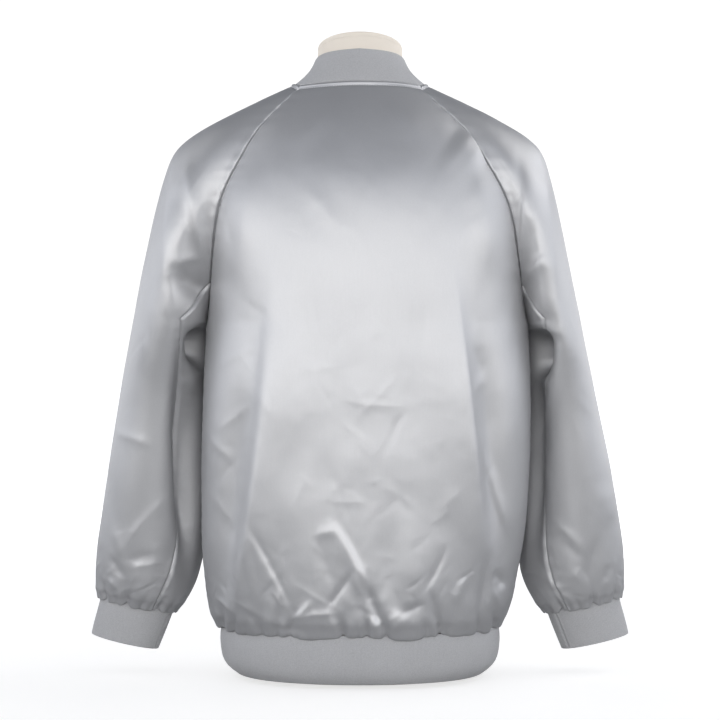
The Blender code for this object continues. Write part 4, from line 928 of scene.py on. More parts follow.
def gather_lift(a, up, gather, middle):
    """Lift of one gather: a narrow trough at the seam that opens and fades as it goes up."""
    width = gather["half_width"] * (0.8 + 1.1 * up.clip(0, 3))
    shape = bell(a, middle, width)
    return -gather["depth"] * shape * np.exp(-(up**1.5)) * (0.55 + 0.45 * (up / 0.25).clip(0, 1))


def body_lift(grid, creases, gathers, seed, mirrored):
    """How far each point of a body panel stands out of its plain surface."""
    x, z = grid[..., 0], grid[..., 2]
    lift = creases_lift(x, z, creases)
    for more, scatter in BODY_SCATTER.items():
        for row in fine_creases(seed + more, *scatter):
            lift += crease_lift(x, z, *row)
    above = (z - HEM_SEAM_Z).clip(0)
    for gather in gathers.each():
        up = above / gather["rise"]
        lift += gather_lift(x, up, gather, mirrored * (gather["x"] + gather["lean"] * up.clip(0, 2)))
    return lift


def fine_creases(seed, count, box, lean, strength):
    """Rows of short faint creases scattered over a box of two coordinates."""
    pick = np.random.default_rng(seed)
    rows = []
    for _ in range(count):
        a = pick.uniform(box[0], box[1])
        b = box[2] + (box[3] - box[2]) * pick.uniform(0, 1) ** 1.5
        turn = pick.normal(0, 0.55) + lean * np.sign(a - (box[0] + box[1]) / 2)
        reach = pick.uniform(0.014, 0.042)
        da, db = reach * math.sin(turn), reach * math.cos(turn)
        height = strength * pick.choice((-1, 1)) * pick.uniform(0.00012, 0.00042)
        rows.append(((a - da, b - db), (a + da, b + db), pick.normal(0, 0.0012),
                     pick.uniform(0.0028, 0.0052), height, 0.7, pick.uniform(-0.4, 0.4)))
    return rows


def pinch_of(a, gathers, key, mirrored):
    """How tightly the cloth is drawn in along a gathered seam, from 0 to 1."""
    pinch = np.zeros(a.shape)
    for gather in gathers.each():
        drawn = bell(a, mirrored * gather[key], 1.25 * gather["half_width"])
        pinch = np.maximum(pinch, min(1.0, gather["depth"] / 0.0031) ** 3 * drawn)
    return pinch


def gathered_roll(above, pinch):
    """Lift and hang of the fullness that rolls over a rib band between its gathers."""
    sewn = smooth_step(above / 0.0022)
    lift = 0.0026 * bell(above, 0.010, 0.011) * (1 - pinch) * sewn
    hang = bell(above, 0.0042, 0.0042) * (1 - 0.4 * pinch) * sewn
    return lift, hang


def hem_droop(x):
    """How far the satin hangs down over the hem band along it."""
    drop = np.full(x.shape, HEM_DROOP)
    for droop in HEM_DROOPS.each():
        drop += droop["drop"] * bell(x, droop["x"], droop["half_width"])
    return drop


def sleeve_lift(grid, rounds, levels, side):
    """How far each point of a sleeve stands out of its plain surface."""
    x, y, z = np.moveaxis(grid, 2, 0)
    lift = smooth_step((0.010 - y) / 0.03) * creases_lift(x, z, SLEEVE_BACK_CREASES[side])
    lift += smooth_step((y - 0.010) / 0.03) * creases_lift(x, z, SLEEVE_FRONT_CREASES, side)
    a = rounds * SLEEVE_ROUND_M
    for seed, scatter in SLEEVE_SCATTER.items():
        for row in fine_creases(seed + side, *scatter):
            lift += crease_lift(a, levels * SLEEVE_UP_M, *row)
    for gather in CUFF_GATHERS.each():
        up = levels / gather["rise"]
        middle = (gather["round"] + gather["lean"] * up.clip(0, 2)) * SLEEVE_ROUND_M
        lift += gather_lift(a, up, gather, middle)
    return lift


def rumple(grid, seed):
    """Uneven waves of the cloth: long upright ones, rounder ones between, and a fine unrest."""
    lift = np.empty(grid.shape[:2])
    shift = Vector((seed, seed * 0.7, 0.0))
    for place in np.ndindex(lift.shape):
        x, y, z = grid[place]
        lift[place] = sum(
            height * noise.noise(Vector((x * across, y * across, z * upward)) + way * shift)
            for across, upward, way, height in WAVES
        )
    return lift


def edge_distance(grid, side):
    """Distance of each point along its row or column from one edge: first, last, bottom or top."""
    axis = 1 if side in ("first", "last") else 0
    steps = np.linalg.norm(np.diff(grid, axis=axis), axis=2)
    start = np.zeros_like(grid[:, :1, 0] if axis else grid[:1, :, 0])
    run = np.concatenate([start, np.cumsum(steps, axis=axis)], axis=axis)
    if side in ("first", "bottom"):
        return run
    return run.max(axis=axis, keepdims=True) - run


def seam_lift(distance, along, dip):
    """A sewn edge: a dip at the seam, a soft roll beside it, and small puckers."""
    pucker = 0.00032 * np.sin(along * 410 + 2.2 * np.sin(along * 63)) * np.exp(-distance / 0.009)
    roll = 0.0003 * bell(distance, 0.0045, 0.0030)
    return -dip * bell(distance, 0, 0.0014) + roll + pucker * (distance > 0)


def neck_lift(distance):
    """The neck seam's allowance, turned down and sewn through: a low welt and a groove under it."""
    welt = 0.0016 * smooth_step((0.0058 - distance) / 0.0018) * smooth_step((distance - 0.0002) / 0.0016)
    groove = -0.0009 * bell(distance, 0.0064, 0.0012)
    return welt + groove - 0.0022 * bell(distance, 0, 0.0013)


# Cloth

class Cloth:
    """A grid of points as one skin of cloth, with normals and lifts that neighbours share along seams."""

    def __init__(self, grid, outward, lift, hang, down=(0.0, 0.0, -1.0)):
        rows, columns = grid.shape[:2]
        flat = grid.reshape(-1, 3)
        _, first, inverse = np.unique(
            np.round(flat, 6), axis=0, return_index=True, return_inverse=True
        )
        self.points = flat[first]
        self.lift = lift.reshape(-1)[first]
        self.hang = np.outer(hang.reshape(-1)[first], down)
        self.number = inverse.reshape(rows, columns)
        n = self.number
        quads = np.stack([n[:-1, :-1], n[:-1, 1:], n[1:, 1:], n[1:, :-1]], axis=-1).reshape(-1, 4)
        self.quads = quads if outward else quads[:, ::-1]
        corners = self.points[self.quads]
        face = np.cross(corners[:, 2] - corners[:, 0], corners[:, 3] - corners[:, 1])
        self.normals = np.zeros_like(self.points)
        for i in range(4):
            np.add.at(self.normals, self.quads[:, i], face)
        self.normals /= np.linalg.norm(self.normals, axis=1)[:, None] + 1e-12

    def placed(self):
        """The points of the skin where it lies."""
        return self.points + self.normals * self.lift[:, None] + self.hang

    def faces(self):
        """Cells as loops, without the corners that fall together."""
        loops = self.quads.tolist()
        return [[v for i, v in enumerate(loop) if v != loop[i - 1]] for loop in loops if len(set(loop)) > 2]

    def line_along(self, side, distance):
        """Placed points at a distance from the first, last or top edge, and their normals."""
        grid = self.points[self.number]
        run = edge_distance(grid, side)
        placed, normals = self.placed()[self.number], self.normals[self.number]
        if side == "top":
            run, placed, normals = run.T, placed.swapaxes(0, 1), normals.swapaxes(0, 1)
        spots, ways = [], []
        for row, points, directions in zip(run, placed, normals):
            order = np.argsort(row)
            spots.append(points_at(distance, row[order], points[order]))
            ways.append(points_at(distance, row[order], directions[order]))
        return np.array(spots), np.array(ways)


def share_seams(cloths):
    """Gives points on a common seam one normal and one lift, except deep in the crease of an underarm."""
    sums, lifts = {}, {}
    keys = [[tuple(p) for p in np.round(cloth.points, 5).tolist()] for cloth in cloths]
    for cloth, names in zip(cloths, keys):
        for key, normal, lift in zip(names, cloth.normals, cloth.lift):
            if key in sums:
                sums[key] = sums[key] + normal
                lifts[key].append(lift)
            else:
                sums[key] = normal
                lifts[key] = [lift]
    for cloth, names in zip(cloths, keys):
        for i, key in enumerate(names):
            if len(lifts[key]) == 1:
                continue
            own, mean = cloth.normals[i], sums[key] / (np.linalg.norm(sums[key]) + 1e-12)
            agree = smooth_step((own @ mean - 0.25) / 0.4)
            mixed = own + agree * (mean - own)
            cloth.normals[i] = mixed / np.linalg.norm(mixed)
            cloth.lift[i] = agree * np.mean(lifts[key])


def new_object(name, points, faces, finish, body=JACKET):
    mesh = bpy.data.meshes.new(name)
    mesh.from_pydata(np.asarray(points).tolist(), [], faces)
    mesh.validate()
    mesh.shade_smooth()
    mesh.materials.append(finish)
    mesh.use_auto_texspace = False
    mesh.texspace_location, mesh.texspace_size = (0.0, 0.0, 0.4), (0.5, 0.5, 0.5)
    piece = bpy.data.objects.new(name, mesh)
    bpy.context.scene.collection.objects.link(piece)
    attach(piece, body)
    return piece


def closed_grid_faces(rows, columns, ring_columns):
    """Faces of a grid whose rows close on themselves, and whose columns do too or end in caps."""
    faces = []
    count = columns if ring_columns else columns - 1
    for r in range(rows):
        below, above = r * columns, (r + 1) % rows * columns
        for c in range(count):
            d = (c + 1) % columns
            faces.append([below + c, below + d, above + d, above + c])
    if not ring_columns:
        faces.append([r * columns for r in range(rows)])
        faces.append([r * columns + columns - 1 for r in reversed(range(rows))])
    return faces


def tube_faces(rings, sides, base=0):
    """Faces of rings of points joined into a tube with both ends closed."""
    faces = []
    for r in range(rings - 1):
        low, high = base + r * sides, base + (r + 1) * sides
        for s in range(sides):
            t = (s + 1) % sides
            faces.append([low + s, low + t, high + t, high + s])
    faces.append([base + s for s in reversed(range(sides))])
    faces.append([base + (rings - 1) * sides + s for s in range(sides)])
    return faces


def rib_shell(name, grid, ring, wall, pitch, depth, finish, inside_out, seam):
    """A rib-knit band folded double: ribs on its outer skin, a fold at its free edge, and perhaps a seam."""
    rows, columns = grid.shape[:2]
    rolled = np.concatenate([grid[:, -1:], grid, grid[:, :1]], axis=1) if ring else grid
    along = np.gradient(rolled, axis=1)
    along = along[:, 1:-1] if ring else along
    # Where a row's points fall together at a band's end, it follows the middle row
    along = np.where(np.linalg.norm(along, axis=2)[..., None] > 1e-7, along, along[rows // 2])
    up = np.gradient(grid, axis=0)
    normals = np.cross(along, up)
    normals /= np.linalg.norm(normals, axis=2)[..., None]
    if inside_out:
        normals = -normals
    up /= np.linalg.norm(up, axis=2)[..., None]
    middle = grid[rows // 2]
    run = run_along(middle)
    total = run[-1] + (np.linalg.norm(middle[0] - middle[-1]) if ring else 0)
    ribs = round(total / pitch)
    wave = depth * np.cos(2 * math.pi * ribs * run / total)
    if seam is not None:
        off = run / total - seam
        wave -= 0.0010 * bell(off * total, 0, 0.0010)
        wave += 0.0004 * bell(np.abs(off) * total, 0.0032, 0.0016)
    layers = [grid[r] + normals[r] * wave[:, None] for r in range(rows)]
    for turn in (25, 50, 75, 105, 130, 155):
        angle = math.radians(turn)
        out = wall / 2 * (math.cos(angle) - 1) + wave * max(0.0, math.cos(angle))
        layers.append(grid[-1] + up[-1] * wall / 2 * math.sin(angle) + normals[-1] * out[:, None])
    layers += [grid[r] - normals[r] * wall for r in reversed(range(rows))]
    faces = closed_grid_faces(len(layers), columns, ring)
    if inside_out:
        faces = [face[::-1] for face in faces]
    return new_object(name, np.concatenate(layers), faces, finish)


# Finishes

class Value:
    """A socket that adds its own Math nodes when it is used in an expression."""

    def __init__(self, graph, socket):
        self.graph = graph
        self.socket = socket

    def maths(self, operation, *terms):
        found = self.graph.node("ShaderNodeMath", {"operation": operation}, dict(enumerate(terms)))
        return found["Value"]

    def __add__(self, other):
        return self.maths("ADD", self, other)

    __radd__ = __add__

    def __sub__(self, other):
        return self.maths("SUBTRACT", self, other)

    def __rsub__(self, other):
        return self.maths("SUBTRACT", other, self)

    def __mul__(self, other):
        return self.maths("MULTIPLY", self, other)

    __rmul__ = __mul__

    def __truediv__(self, other):
        return self.maths("DIVIDE", self, other)

    def __rtruediv__(self, other):
        return self.maths("DIVIDE", other, self)

    def __pow__(self, other):
        return self.maths("POWER", self, other)

    def __rpow__(self, other):
        return self.maths("POWER", other, self)

    def sine(self):
        return self.maths("SINE", self)

    def size(self):
        return self.maths("ABSOLUTE", self)

    def between(self, low, high):
        """0 below low, 1 above high and smooth in between."""
        found = self.graph.node(
            "ShaderNodeMapRange", {"interpolation_type": "SMOOTHSTEP"},
            {"Value": self, "From Min": low, "From Max": high, "To Min": 0.0, "To Max": 1.0},
        )
        return found["Result"]


class Graph:
    """A node tree written as expressions on its sockets."""

    def __init__(self, tree):
        self.tree = tree

    def node(self, kind, settings=None, inputs=None):
        """A node with its settings and its inputs' values or links, as a dict of its output values."""
        made = self.tree.nodes.new(kind)
        for key, value in (settings or {}).items():
            setattr(made, key, value)
        for key, value in (inputs or {}).items():
            self.feed(made.inputs[key], value)
        return {output.name: Value(self, output) for output in made.outputs if output.enabled}

    def feed(self, socket, value):
        if isinstance(value, Value):
            self.tree.links.new(value.socket, socket)
        else:
            socket.default_value = value

    def mix(self, share, first, second):
        found = self.node(
            "ShaderNodeMix", {"data_type": "RGBA"}, {"Factor": share, 6: (*first, 1.0), 7: (*second, 1.0)}
        )
        return found["Result"]


class Finish(Graph):
    """One material and its shader."""

    def __init__(self, name):
        self.material = bpy.data.materials.new(name)
        self.material.use_nodes = True
        super().__init__(self.material.node_tree)
        self.shader = self.tree.nodes["Principled BSDF"]

    def set(self, **values):
        """Sets the shader's sockets, named with underscores for spaces."""
        for key, value in values.items():
            self.feed(self.shader.inputs[key.replace("_", " ")], value)

    def place(self, scale=(1.0, 1.0, 1.0)):
        """Position in the object's own metres, scaled."""
        where = self.node("ShaderNodeTexCoord")["Object"]
        return self.node("ShaderNodeVectorMath", {"operation": "MULTIPLY"}, {0: where, 1: scale})["Vector"]

    def axes(self):
        return self.node("ShaderNodeSeparateXYZ", None, {"Vector": self.place()})

    def speckle(self, scale, detail=2.0, stretch=(1.0, 1.0, 1.0)):
        found = self.node(
            "ShaderNodeTexNoise", None, {"Vector": self.place(stretch), "Scale": scale, "Detail": detail}
        )
        return found["Fac"]

    def crumple(self, scale):
        """Sharp-ridged noise, as of cloth that has been folded and worn."""
        found = self.node(
            "ShaderNodeTexNoise", {"noise_type": "RIDGED_MULTIFRACTAL"},
            {"Vector": self.place(), "Scale": scale, "Detail": 3.0, "Roughness": 0.45, "Distortion": 0.6},
        )
        return found["Fac"]

    def bump(self, height, strength, distance, over=None):
        inputs = {"Height": height, "Strength": strength, "Distance": distance}
        if over is not None:
            inputs["Normal"] = over
        return self.node("ShaderNodeBump", None, inputs)["Normal"]


def shade(colour, factor):
    return tuple(c * factor for c in colour)


def satin_finish(name, colour):
    """Silver satin: a close warp-faced weave with a soft lustre, faint streaks and crumples."""
    finish = Finish(name)
    streak = finish.speckle(1.0, 3.0, (1500.0, 1500.0, 26.0))
    grain = finish.speckle(620.0, 2.0)
    cloud = finish.speckle(14.0, 3.0)
    where = finish.axes()
    weave = ((where["X"] + where["Y"] * 0.7 + where["Z"] * 0.45) * 7600.0).sine()
    close = finish.bump(weave * 0.35 + streak + grain * 0.8, 0.10, 0.0002)
    gathered = 1.0 - where["Z"].between(0.07, 0.20) * 0.85
    finish.set(
        Base_Color=finish.mix(
            streak * 0.3 + grain * 0.4 + cloud * 0.3, shade(colour, 0.91), shade(colour, 1.08)
        ),
        Metallic=0.7,
        Roughness=0.47 + (cloud - 0.5) * 0.05,
        Normal=finish.bump(finish.crumple(42.0) * gathered, 1.0, 0.0010, close),
        Anisotropic=0.6,
        Anisotropic_Rotation=0.0,
        Specular_Tint=(0.26, 0.27, 0.29, 1.0),
        Sheen_Weight=0.05,
        Sheen_Roughness=0.4,
    )
    return finish.material


def rib_finish(name, colour):
    """Fine rib knit: rows of small loops, matte, with a soft fuzz."""
    finish = Finish(name)
    grain = finish.speckle(900.0, 2.0)
    cloud = finish.speckle(20.0, 3.0)
    where = finish.axes()
    loops = (where["Z"] * 5200.0).sine() * 0.5 + grain
    finish.set(
        Base_Color=finish.mix(grain * 0.8 + cloud * 0.2, shade(colour, 0.72), shade(colour, 1.26)),
        Roughness=0.86 + (grain - 0.5) * 0.12,
        Specular_IOR_Level=0.25,
        Normal=finish.bump(loops, 0.22, 0.0003),
        Sheen_Weight=0.22,
        Sheen_Roughness=0.5,
    )
    return finish.material


def tape_finish(name, colour):
    """Twill tape of the zip, in diagonal lines."""
    finish = Finish(name)
    where = finish.axes()
    twill = ((where["X"] + where["Z"]) * 5200.0).sine() * 0.5 + 0.5
    grain = finish.speckle(3000.0)
    finish.set(
        Base_Color=finish.mix(twill * 0.5 + grain * 0.5, shade(colour, 0.8), shade(colour, 1.15)),
        Roughness=0.8 + grain * 0.1,
        Normal=finish.bump(twill, 0.3, 0.0003),
    )
    return finish.material


def thread_finish(name, colour):
    """Twisted sewing thread."""
    finish = Finish(name)
    grain = finish.speckle(5000.0)
    finish.set(
        Base_Color=finish.mix(grain, shade(colour, 0.9), shade(colour, 1.1)),
        Roughness=0.55 + grain * 0.15,
        Normal=finish.bump(grain, 0.2, 0.0001),
        Sheen_Weight=0.2,
    )
    return finish.material


def metal_finish(name, colour):
    """Nickel, faintly brushed."""
    finish = Finish(name)
    brush = finish.speckle(1.0, 3.0, (900.0, 900.0, 5200.0))
    cloud = finish.speckle(240.0, 3.0)
    finish.set(
        Base_Color=finish.mix(cloud, shade(colour, 0.86), shade(colour, 1.08)),
        Metallic=1.0,
        Roughness=0.22 + brush * 0.12 + cloud * 0.05,
        Normal=finish.bump(brush, 0.06, 0.0001),
    )
    return finish.material


def cover_finish(name, colour):
    """Cream cotton cover of the dress form, a fine knit drawn tight."""
    finish = Finish(name)
    where = finish.axes()
    loops = (where["Z"] * 4200.0).sine() * 0.5 + 0.5
    grain = finish.speckle(2400.0)
    cloud = finish.speckle(9.0, 4.0)
    finish.set(
        Base_Color=finish.mix(grain * 0.35 + cloud * 0.65, shade(colour, 0.93), shade(colour, 1.06)),
        Roughness=0.82 + grain * 0.1,
        Specular_IOR_Level=0.3,
        Normal=finish.bump(loops * 0.4 + grain, 0.18, 0.0003),
        Sheen_Weight=0.12,
    )
    return finish.material


# Pieces


def body_cloth(side=None):
    """The back, or the front of one side, with its creases, gathers and sewn edges."""
    dip = bpy.context.scene.jacket_sizes.seam_dip
    if side is None:
        grid, creases, gathers, seed, mirrored = back_grid(), BACK_CREASES, BACK_GATHERS, BACK_SEED, 1
    else:
        grid, creases, gathers = front_grid(side), FRONT_CREASES, FRONT_GATHERS
        seed, mirrored = FRONT_SEED, side
    x = grid[..., 0]
    roll, hang = gathered_roll(edge_distance(grid, "bottom"), pinch_of(x, gathers, "x", mirrored))
    lift = body_lift(grid, creases, gathers, seed, mirrored) + rumple(grid, seed) + roll
    hang = hang * hem_droop(x)
    if side is None:
        lift += seam_lift(edge_distance(grid, "first"), grid[..., 2], dip)
    else:
        calm = smooth_step((np.abs(x) - ZIP_HALF_GAP) / ZIP_CALM)
        lift, hang = lift * calm, hang * calm
    lift += seam_lift(edge_distance(grid, "last"), grid[..., 2], dip)
    lift += neck_lift(edge_distance(grid, "top"))
    return Cloth(grid, side in (None, LEFT), lift, hang)


def sleeve_cloth(side, under):
    """One cut of a sleeve with its creases, gathers and sewn edges."""
    dip = bpy.context.scene.jacket_sizes.seam_dip
    if under:
        levels, places = under_sleeve_places()
        grid, rounds = under_sleeve_grid(side), places % 1.0
    else:
        levels, rounds = upper_sleeve_places()
        grid = np.array([sleeve_row(level[0], side, row) for level, row in zip(levels, rounds)])
    pinch = pinch_of(rounds * SLEEVE_ROUND_M, CUFF_GATHERS, "round_m", 1)
    roll, hang = gathered_roll(levels * SLEEVE_UP_M, pinch)
    lift = sleeve_lift(grid, rounds, levels, side) + rumple(grid, SLEEVE_SEED + side) + roll
    for edge in ("first", "last", "top") if under else ("first", "last"):
        lift += seam_lift(edge_distance(grid, edge), grid[..., 2], dip)
    if not under:
        lift += neck_lift(edge_distance(grid, "top"))
    return Cloth(grid, side == RIGHT, lift, SLEEVE_HANG * hang, (0.25 * side, 0.0, -0.97))


CLOTHS = {}


class JACKET_OT_satin(Operator):
    """Cut and sew the satin panels: back, fronts and two-piece raglan sleeves."""

    bl_idname = "jacket.satin"
    bl_label = "Satin panels"

    def execute(self, context):
        finish = satin_finish("silver_satin", context.scene.jacket_colours.satin)
        CLOTHS["back"] = body_cloth()
        for side, word in SIDE_NAMES.items():
            CLOTHS["front_" + word] = body_cloth(side)
            upper, under = sleeve_cloth(side, False), sleeve_cloth(side, True)
            share_seams([upper, under])
            CLOTHS["sleeve_upper_" + word], CLOTHS["sleeve_under_" + word] = upper, under
        share_seams([CLOTHS["back"], CLOTHS["front_left"], CLOTHS["front_right"]])
        share_seams(list(CLOTHS.values()))
        for name, cloth in CLOTHS.items():
            piece = new_object(name + "_satin", cloth.placed(), cloth.faces(), finish)
            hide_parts(name)
        return {"FINISHED"}


def neckline(side):
    """The neck edge of one half from the zip to centre back."""
    shares = np.linspace(1, 0, NECK_POINTS)
    front = front_row(TOP_LEVEL, side, NECK_FRONT_COLUMNS)
    sleeve = sleeve_row(TOP_LEVEL, side, shares)
    back = half_row(TOP_LEVEL, "back", side, shares)
    return np.concatenate([front, sleeve[1:], back[1:]])


def collar_grid(rows, columns):
    """The collar from its seam to its fold, from the left front round the neck to the right front."""
    halves = {}
    for side in (LEFT, RIGHT):
        foot = by_length(neckline(side), columns // 2 + 1)
        top = np.stack(COLLAR_TOP.at(np.linspace(0, 1, BAND_POINTS), "x", "y", "z"), axis=1) * (side, 1, 1)
        turn = np.arctan2(np.abs(top[:, 0]), top[:, 1] - NECK_AXIS_Y)
        wanted = np.arctan2(np.abs(foot[:, 0]), foot[:, 1] - NECK_AXIS_Y)
        head = points_at(wanted, turn, top)
        lines = []
        for rise in np.linspace(0, 1, rows):
            line = foot + (head - foot) * rise
            sideways = (line[:, 0] / np.abs(line[:, 0]).max()) ** 3
            line[:, 0] -= COLLAR_FLARE * sideways * math.sin(math.pi * rise)
            lines.append(line)
        halves[side] = np.array(lines)
    return np.concatenate([halves[LEFT][:, :-1], halves[RIGHT][:, ::-1]], axis=1)


def cuff_grid(side, rows, columns):
    """Rings of a cuff from its seam to its fold."""
    angle = 2 * math.pi * np.arange(columns) / columns
    grid = []
    for share in np.linspace(0, 1, rows):
        outer_x, outer_z, inner_x, inner_z, centre_y, half_depth = CUFF.at(
            share, "outer_x", "outer_z", "inner_x", "inner_z", "centre_y", "half_depth"
        )
        middle = np.array([side * (outer_x + inner_x) / 2, centre_y, (outer_z + inner_z) / 2])
        reach = np.array([side * (outer_x - inner_x) / 2, 0, (outer_z - inner_z) / 2])
        ring = middle - np.outer(np.cos(angle), reach)
        ring[:, 1] -= half_depth * np.sin(angle)
        grid.append(ring)
    return np.array(grid)


def hem_grid(rows, columns):
    """The hem band from its seam to its fold, from the left front round the back to the right front."""
    shares = np.linspace(0, 1, BAND_POINTS)
    square = SECTION_SHAPE.rows[0, 1]
    grid = []
    for drop in np.linspace(0, 1, rows):
        z, half_width, back_y, front_y, seam_y = HEM_BAND.at(
            drop, "z", "half_width", "back_y", "front_y", "seam_y"
        )
        halves = {}
        for side in (LEFT, RIGHT):
            seam = np.array([side * half_width, seam_y, z])
            back = section(np.array([0, back_y, z]), seam, square, 1.0, shares)
            front = section(np.array([0, front_y, z]), seam, square, 1.0, shares)
            front = front[np.abs(front[:, 0]) > ZIP_HALF_GAP]
            halves[side] = by_length(np.concatenate([front[:-1], back[::-1]]), columns // 2 + 1)
        grid.append(np.concatenate([halves[LEFT][:-1], halves[RIGHT][::-1]]))
    return np.array(grid)


class JACKET_OT_rib(Operator):
    """Knit the collar, the cuffs and the hem band."""

    bl_idname = "jacket.rib"
    bl_label = "Rib collar, cuffs and hem band"

    def execute(self, context):
        sizes, colours = context.scene.jacket_sizes, context.scene.jacket_colours
        finish = rib_finish("grey_rib", colours.rib)
        knit = (RIB_WALL, sizes.rib_pitch, sizes.rib_depth, finish)
        collar, hem = collar_grid(RIB_ROWS, COLLAR_COLUMNS), hem_grid(RIB_ROWS, HEM_COLUMNS)
        bands = [("collar", "collar", collar, False, False, None, ["form_torso"])]
        bands.append(("hem_band", "hem_band", hem, False, True, None, ["form_torso"]))
        for side, word in SIDE_NAMES.items():
            grid, seam = cuff_grid(side, RIB_ROWS, CUFF_COLUMNS), CUFF_SEAMS[side]
            bands.append(("cuff_" + word, "cuff", grid, True, side == RIGHT, seam, ["sleeve_upper_" + word]))
        for name, cut, grid, ring, inside_out, seam, rests_on in bands:
            piece = rib_shell(name + "_rib", grid, ring, *knit, inside_out, seam)
            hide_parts(name)
        return {"FINISHED"}


def stitch_mesh(line, normals, length, gap, thickness):
    """Points and faces of a row of stitches along a line on the cloth."""
    run = run_along(line)
    count = int(run[-1] / (length + gap))
    points, faces = [], []
    rings = np.linspace(0, 1, 5)
    sides = 6
    for i in range(count):
        start = i * (length + gap)
        for ring in rings:
            at = start + ring * length
            centre, ahead = points_at(at, run, line), points_at(at + 1e-4, run, line)
            out = points_at(at, run, normals)
            along = (ahead - centre) / (np.linalg.norm(ahead - centre) + 1e-12)
            out -= along * (out @ along)
            out /= np.linalg.norm(out) + 1e-12
            across = np.cross(along, out)
            swell = math.sin(math.pi * (0.12 + 0.76 * ring))
            radius = thickness / 2 * swell
            lift = thickness * 0.35 * swell
            for s in range(sides):
                turn = 2 * math.pi * s / sides
                height = radius * math.sin(turn) + lift
                points.append(centre + across * radius * 1.2 * math.cos(turn) + out * height)
        faces += tube_faces(len(rings), sides, i * len(rings) * sides)
    return points, faces


class JACKET_OT_stitching(Operator):
    """Sew the topstitching along the neckline and beside the zip."""

    bl_idname = "jacket.stitching"
    bl_label = "Topstitching"

    def execute(self, context):
        sizes, colours = context.scene.jacket_sizes, context.scene.jacket_colours
        finish = thread_finish("silver_thread", shade(colours.satin, 1.3))
        lines = {
            "stitches_neck_back": ("back", "top", NECK_STITCH_IN),
            "stitches_zip_left": ("front_left", "first", ZIP_STITCH_IN),
            "stitches_zip_right": ("front_right", "first", ZIP_STITCH_IN),
        }
        for word in SIDE_NAMES.values():
            lines["stitches_neck_sleeve_" + word] = ("sleeve_upper_" + word, "top", NECK_STITCH_IN)
            lines["stitches_neck_front_" + word] = ("front_" + word, "top", NECK_STITCH_IN)
        for name, (panel, edge, distance) in lines.items():
            line, normals = CLOTHS[panel].line_along(edge, distance)
            points, faces = stitch_mesh(line, normals, sizes.stitch_length, STITCH_GAP, sizes.thread)
            piece = new_object(name, points, faces, finish)
        return {"FINISHED"}


def zip_line(count):
    """The zip's middle from the hem's free edge to the neckline, at even distances."""
    drops = np.linspace(1, 0, 12)[:-1]
    front_y, z = HEM_BAND.at(drops, "front_y", "z")
    band = np.stack([np.zeros(len(drops)), front_y, z], axis=1)
    body = np.array([centre_point(level, "front") for level in body_levels()])
    return by_length(np.concatenate([band, body])[1:-1], count)


TOOTH = (
    (-0.0031, -0.0011), (-0.0016, -0.0012), (0.0002, -0.0009), (0.0012, -0.0004),
    (0.0012, 0.0004), (0.0002, 0.0009), (-0.0016, 0.0012), (-0.0031, 0.0011),
)


def tooth_mesh(line, pitch, thick, inset):
    """Two rows of interlocking teeth along the zip."""
    points, faces = [], []
    for i in range(1, len(line) - 2):
        side = RIGHT if i % 2 else LEFT
        along = line[i + 1] - line[i - 1]
        along /= np.linalg.norm(along)
        out = np.cross(along, (1.0, 0.0, 0.0))
        across = np.array([-side, 0.0, 0.0])
        layers = ((0.0, 1.0), (thick * 0.75, 1.0), (thick, 0.72))
        faces += tube_faces(len(layers), len(TOOTH), len(points))
        for depth, shrink in layers:
            for reach, half in TOOTH:
                shift = along * half * shrink * pitch / TOOTH_DRAWN_PITCH
                points.append(line[i] + across * (reach + TOOTH_GAP) + shift + out * (depth - inset))
    return points, faces


def dress_node(name, finish):
    """Gives a solid of the frame its finish."""
    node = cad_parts[name]
    if not node.material_slots:
        node.data.materials.append(finish)
    for place in node.material_slots:
        place.material = finish


class JACKET_OT_zip(Operator):
    """Set the zip's teeth and finish its tapes, slider and pull tab."""

    bl_idname = "jacket.zip"
    bl_label = "Zip"

    def execute(self, context):
        sizes, colours = context.scene.jacket_sizes, context.scene.jacket_colours
        metal = metal_finish("nickel", colours.metal)
        tape = tape_finish("zip_tape", colours.tape)
        line = zip_line(int(run_along(zip_line(ZIP_POINTS))[-1] / sizes.tooth_pitch))
        points, faces = tooth_mesh(line, sizes.tooth_pitch, TOOTH_THICK, RIB_WALL + TAPE_BEHIND - TOOTH_SINK)
        teeth = new_object("zip_teeth", points, faces, metal)
        teeth.data.shade_flat()
        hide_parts("zip_chain")
        for name, finish in (
            ("zip_tape_left", tape), ("zip_tape_right", tape), ("zip_slider", metal), ("zip_pull", metal)
        ):
            dress_node(name, finish)
        return {"FINISHED"}


def form_ring(z, sides, inset=0.0):
    """One section of the dress form, its neck tilted so that the nape stands higher than the throat."""
    half_width, back_y, front_y, square = FORM.at(z, "half_width", "back_y", "front_y", "square")
    angle = 2 * math.pi * np.arange(sides) / sides
    power = 2 / square
    across, along = np.sin(angle), -np.cos(angle)
    x = np.sign(across) * np.abs(across) ** power * (half_width - inset)
    depth = np.sign(along) * np.abs(along) ** power
    y = (back_y + front_y) / 2 + depth * ((front_y - back_y) / 2 - inset)
    tilt = NECK_TOP_TILT * np.clip((z - NECK_TILT_START_Z) / (FORM.rows[-1, 0] - NECK_TILT_START_Z), 0, 1)
    return np.stack([x, y, z - tilt * (y - (back_y + front_y) / 2)], axis=1)


def loft(name, rings, finish):
    """A closed solid through rings of equal count."""
    return new_object(name, np.concatenate(rings), tube_faces(len(rings), len(rings[0])), finish)


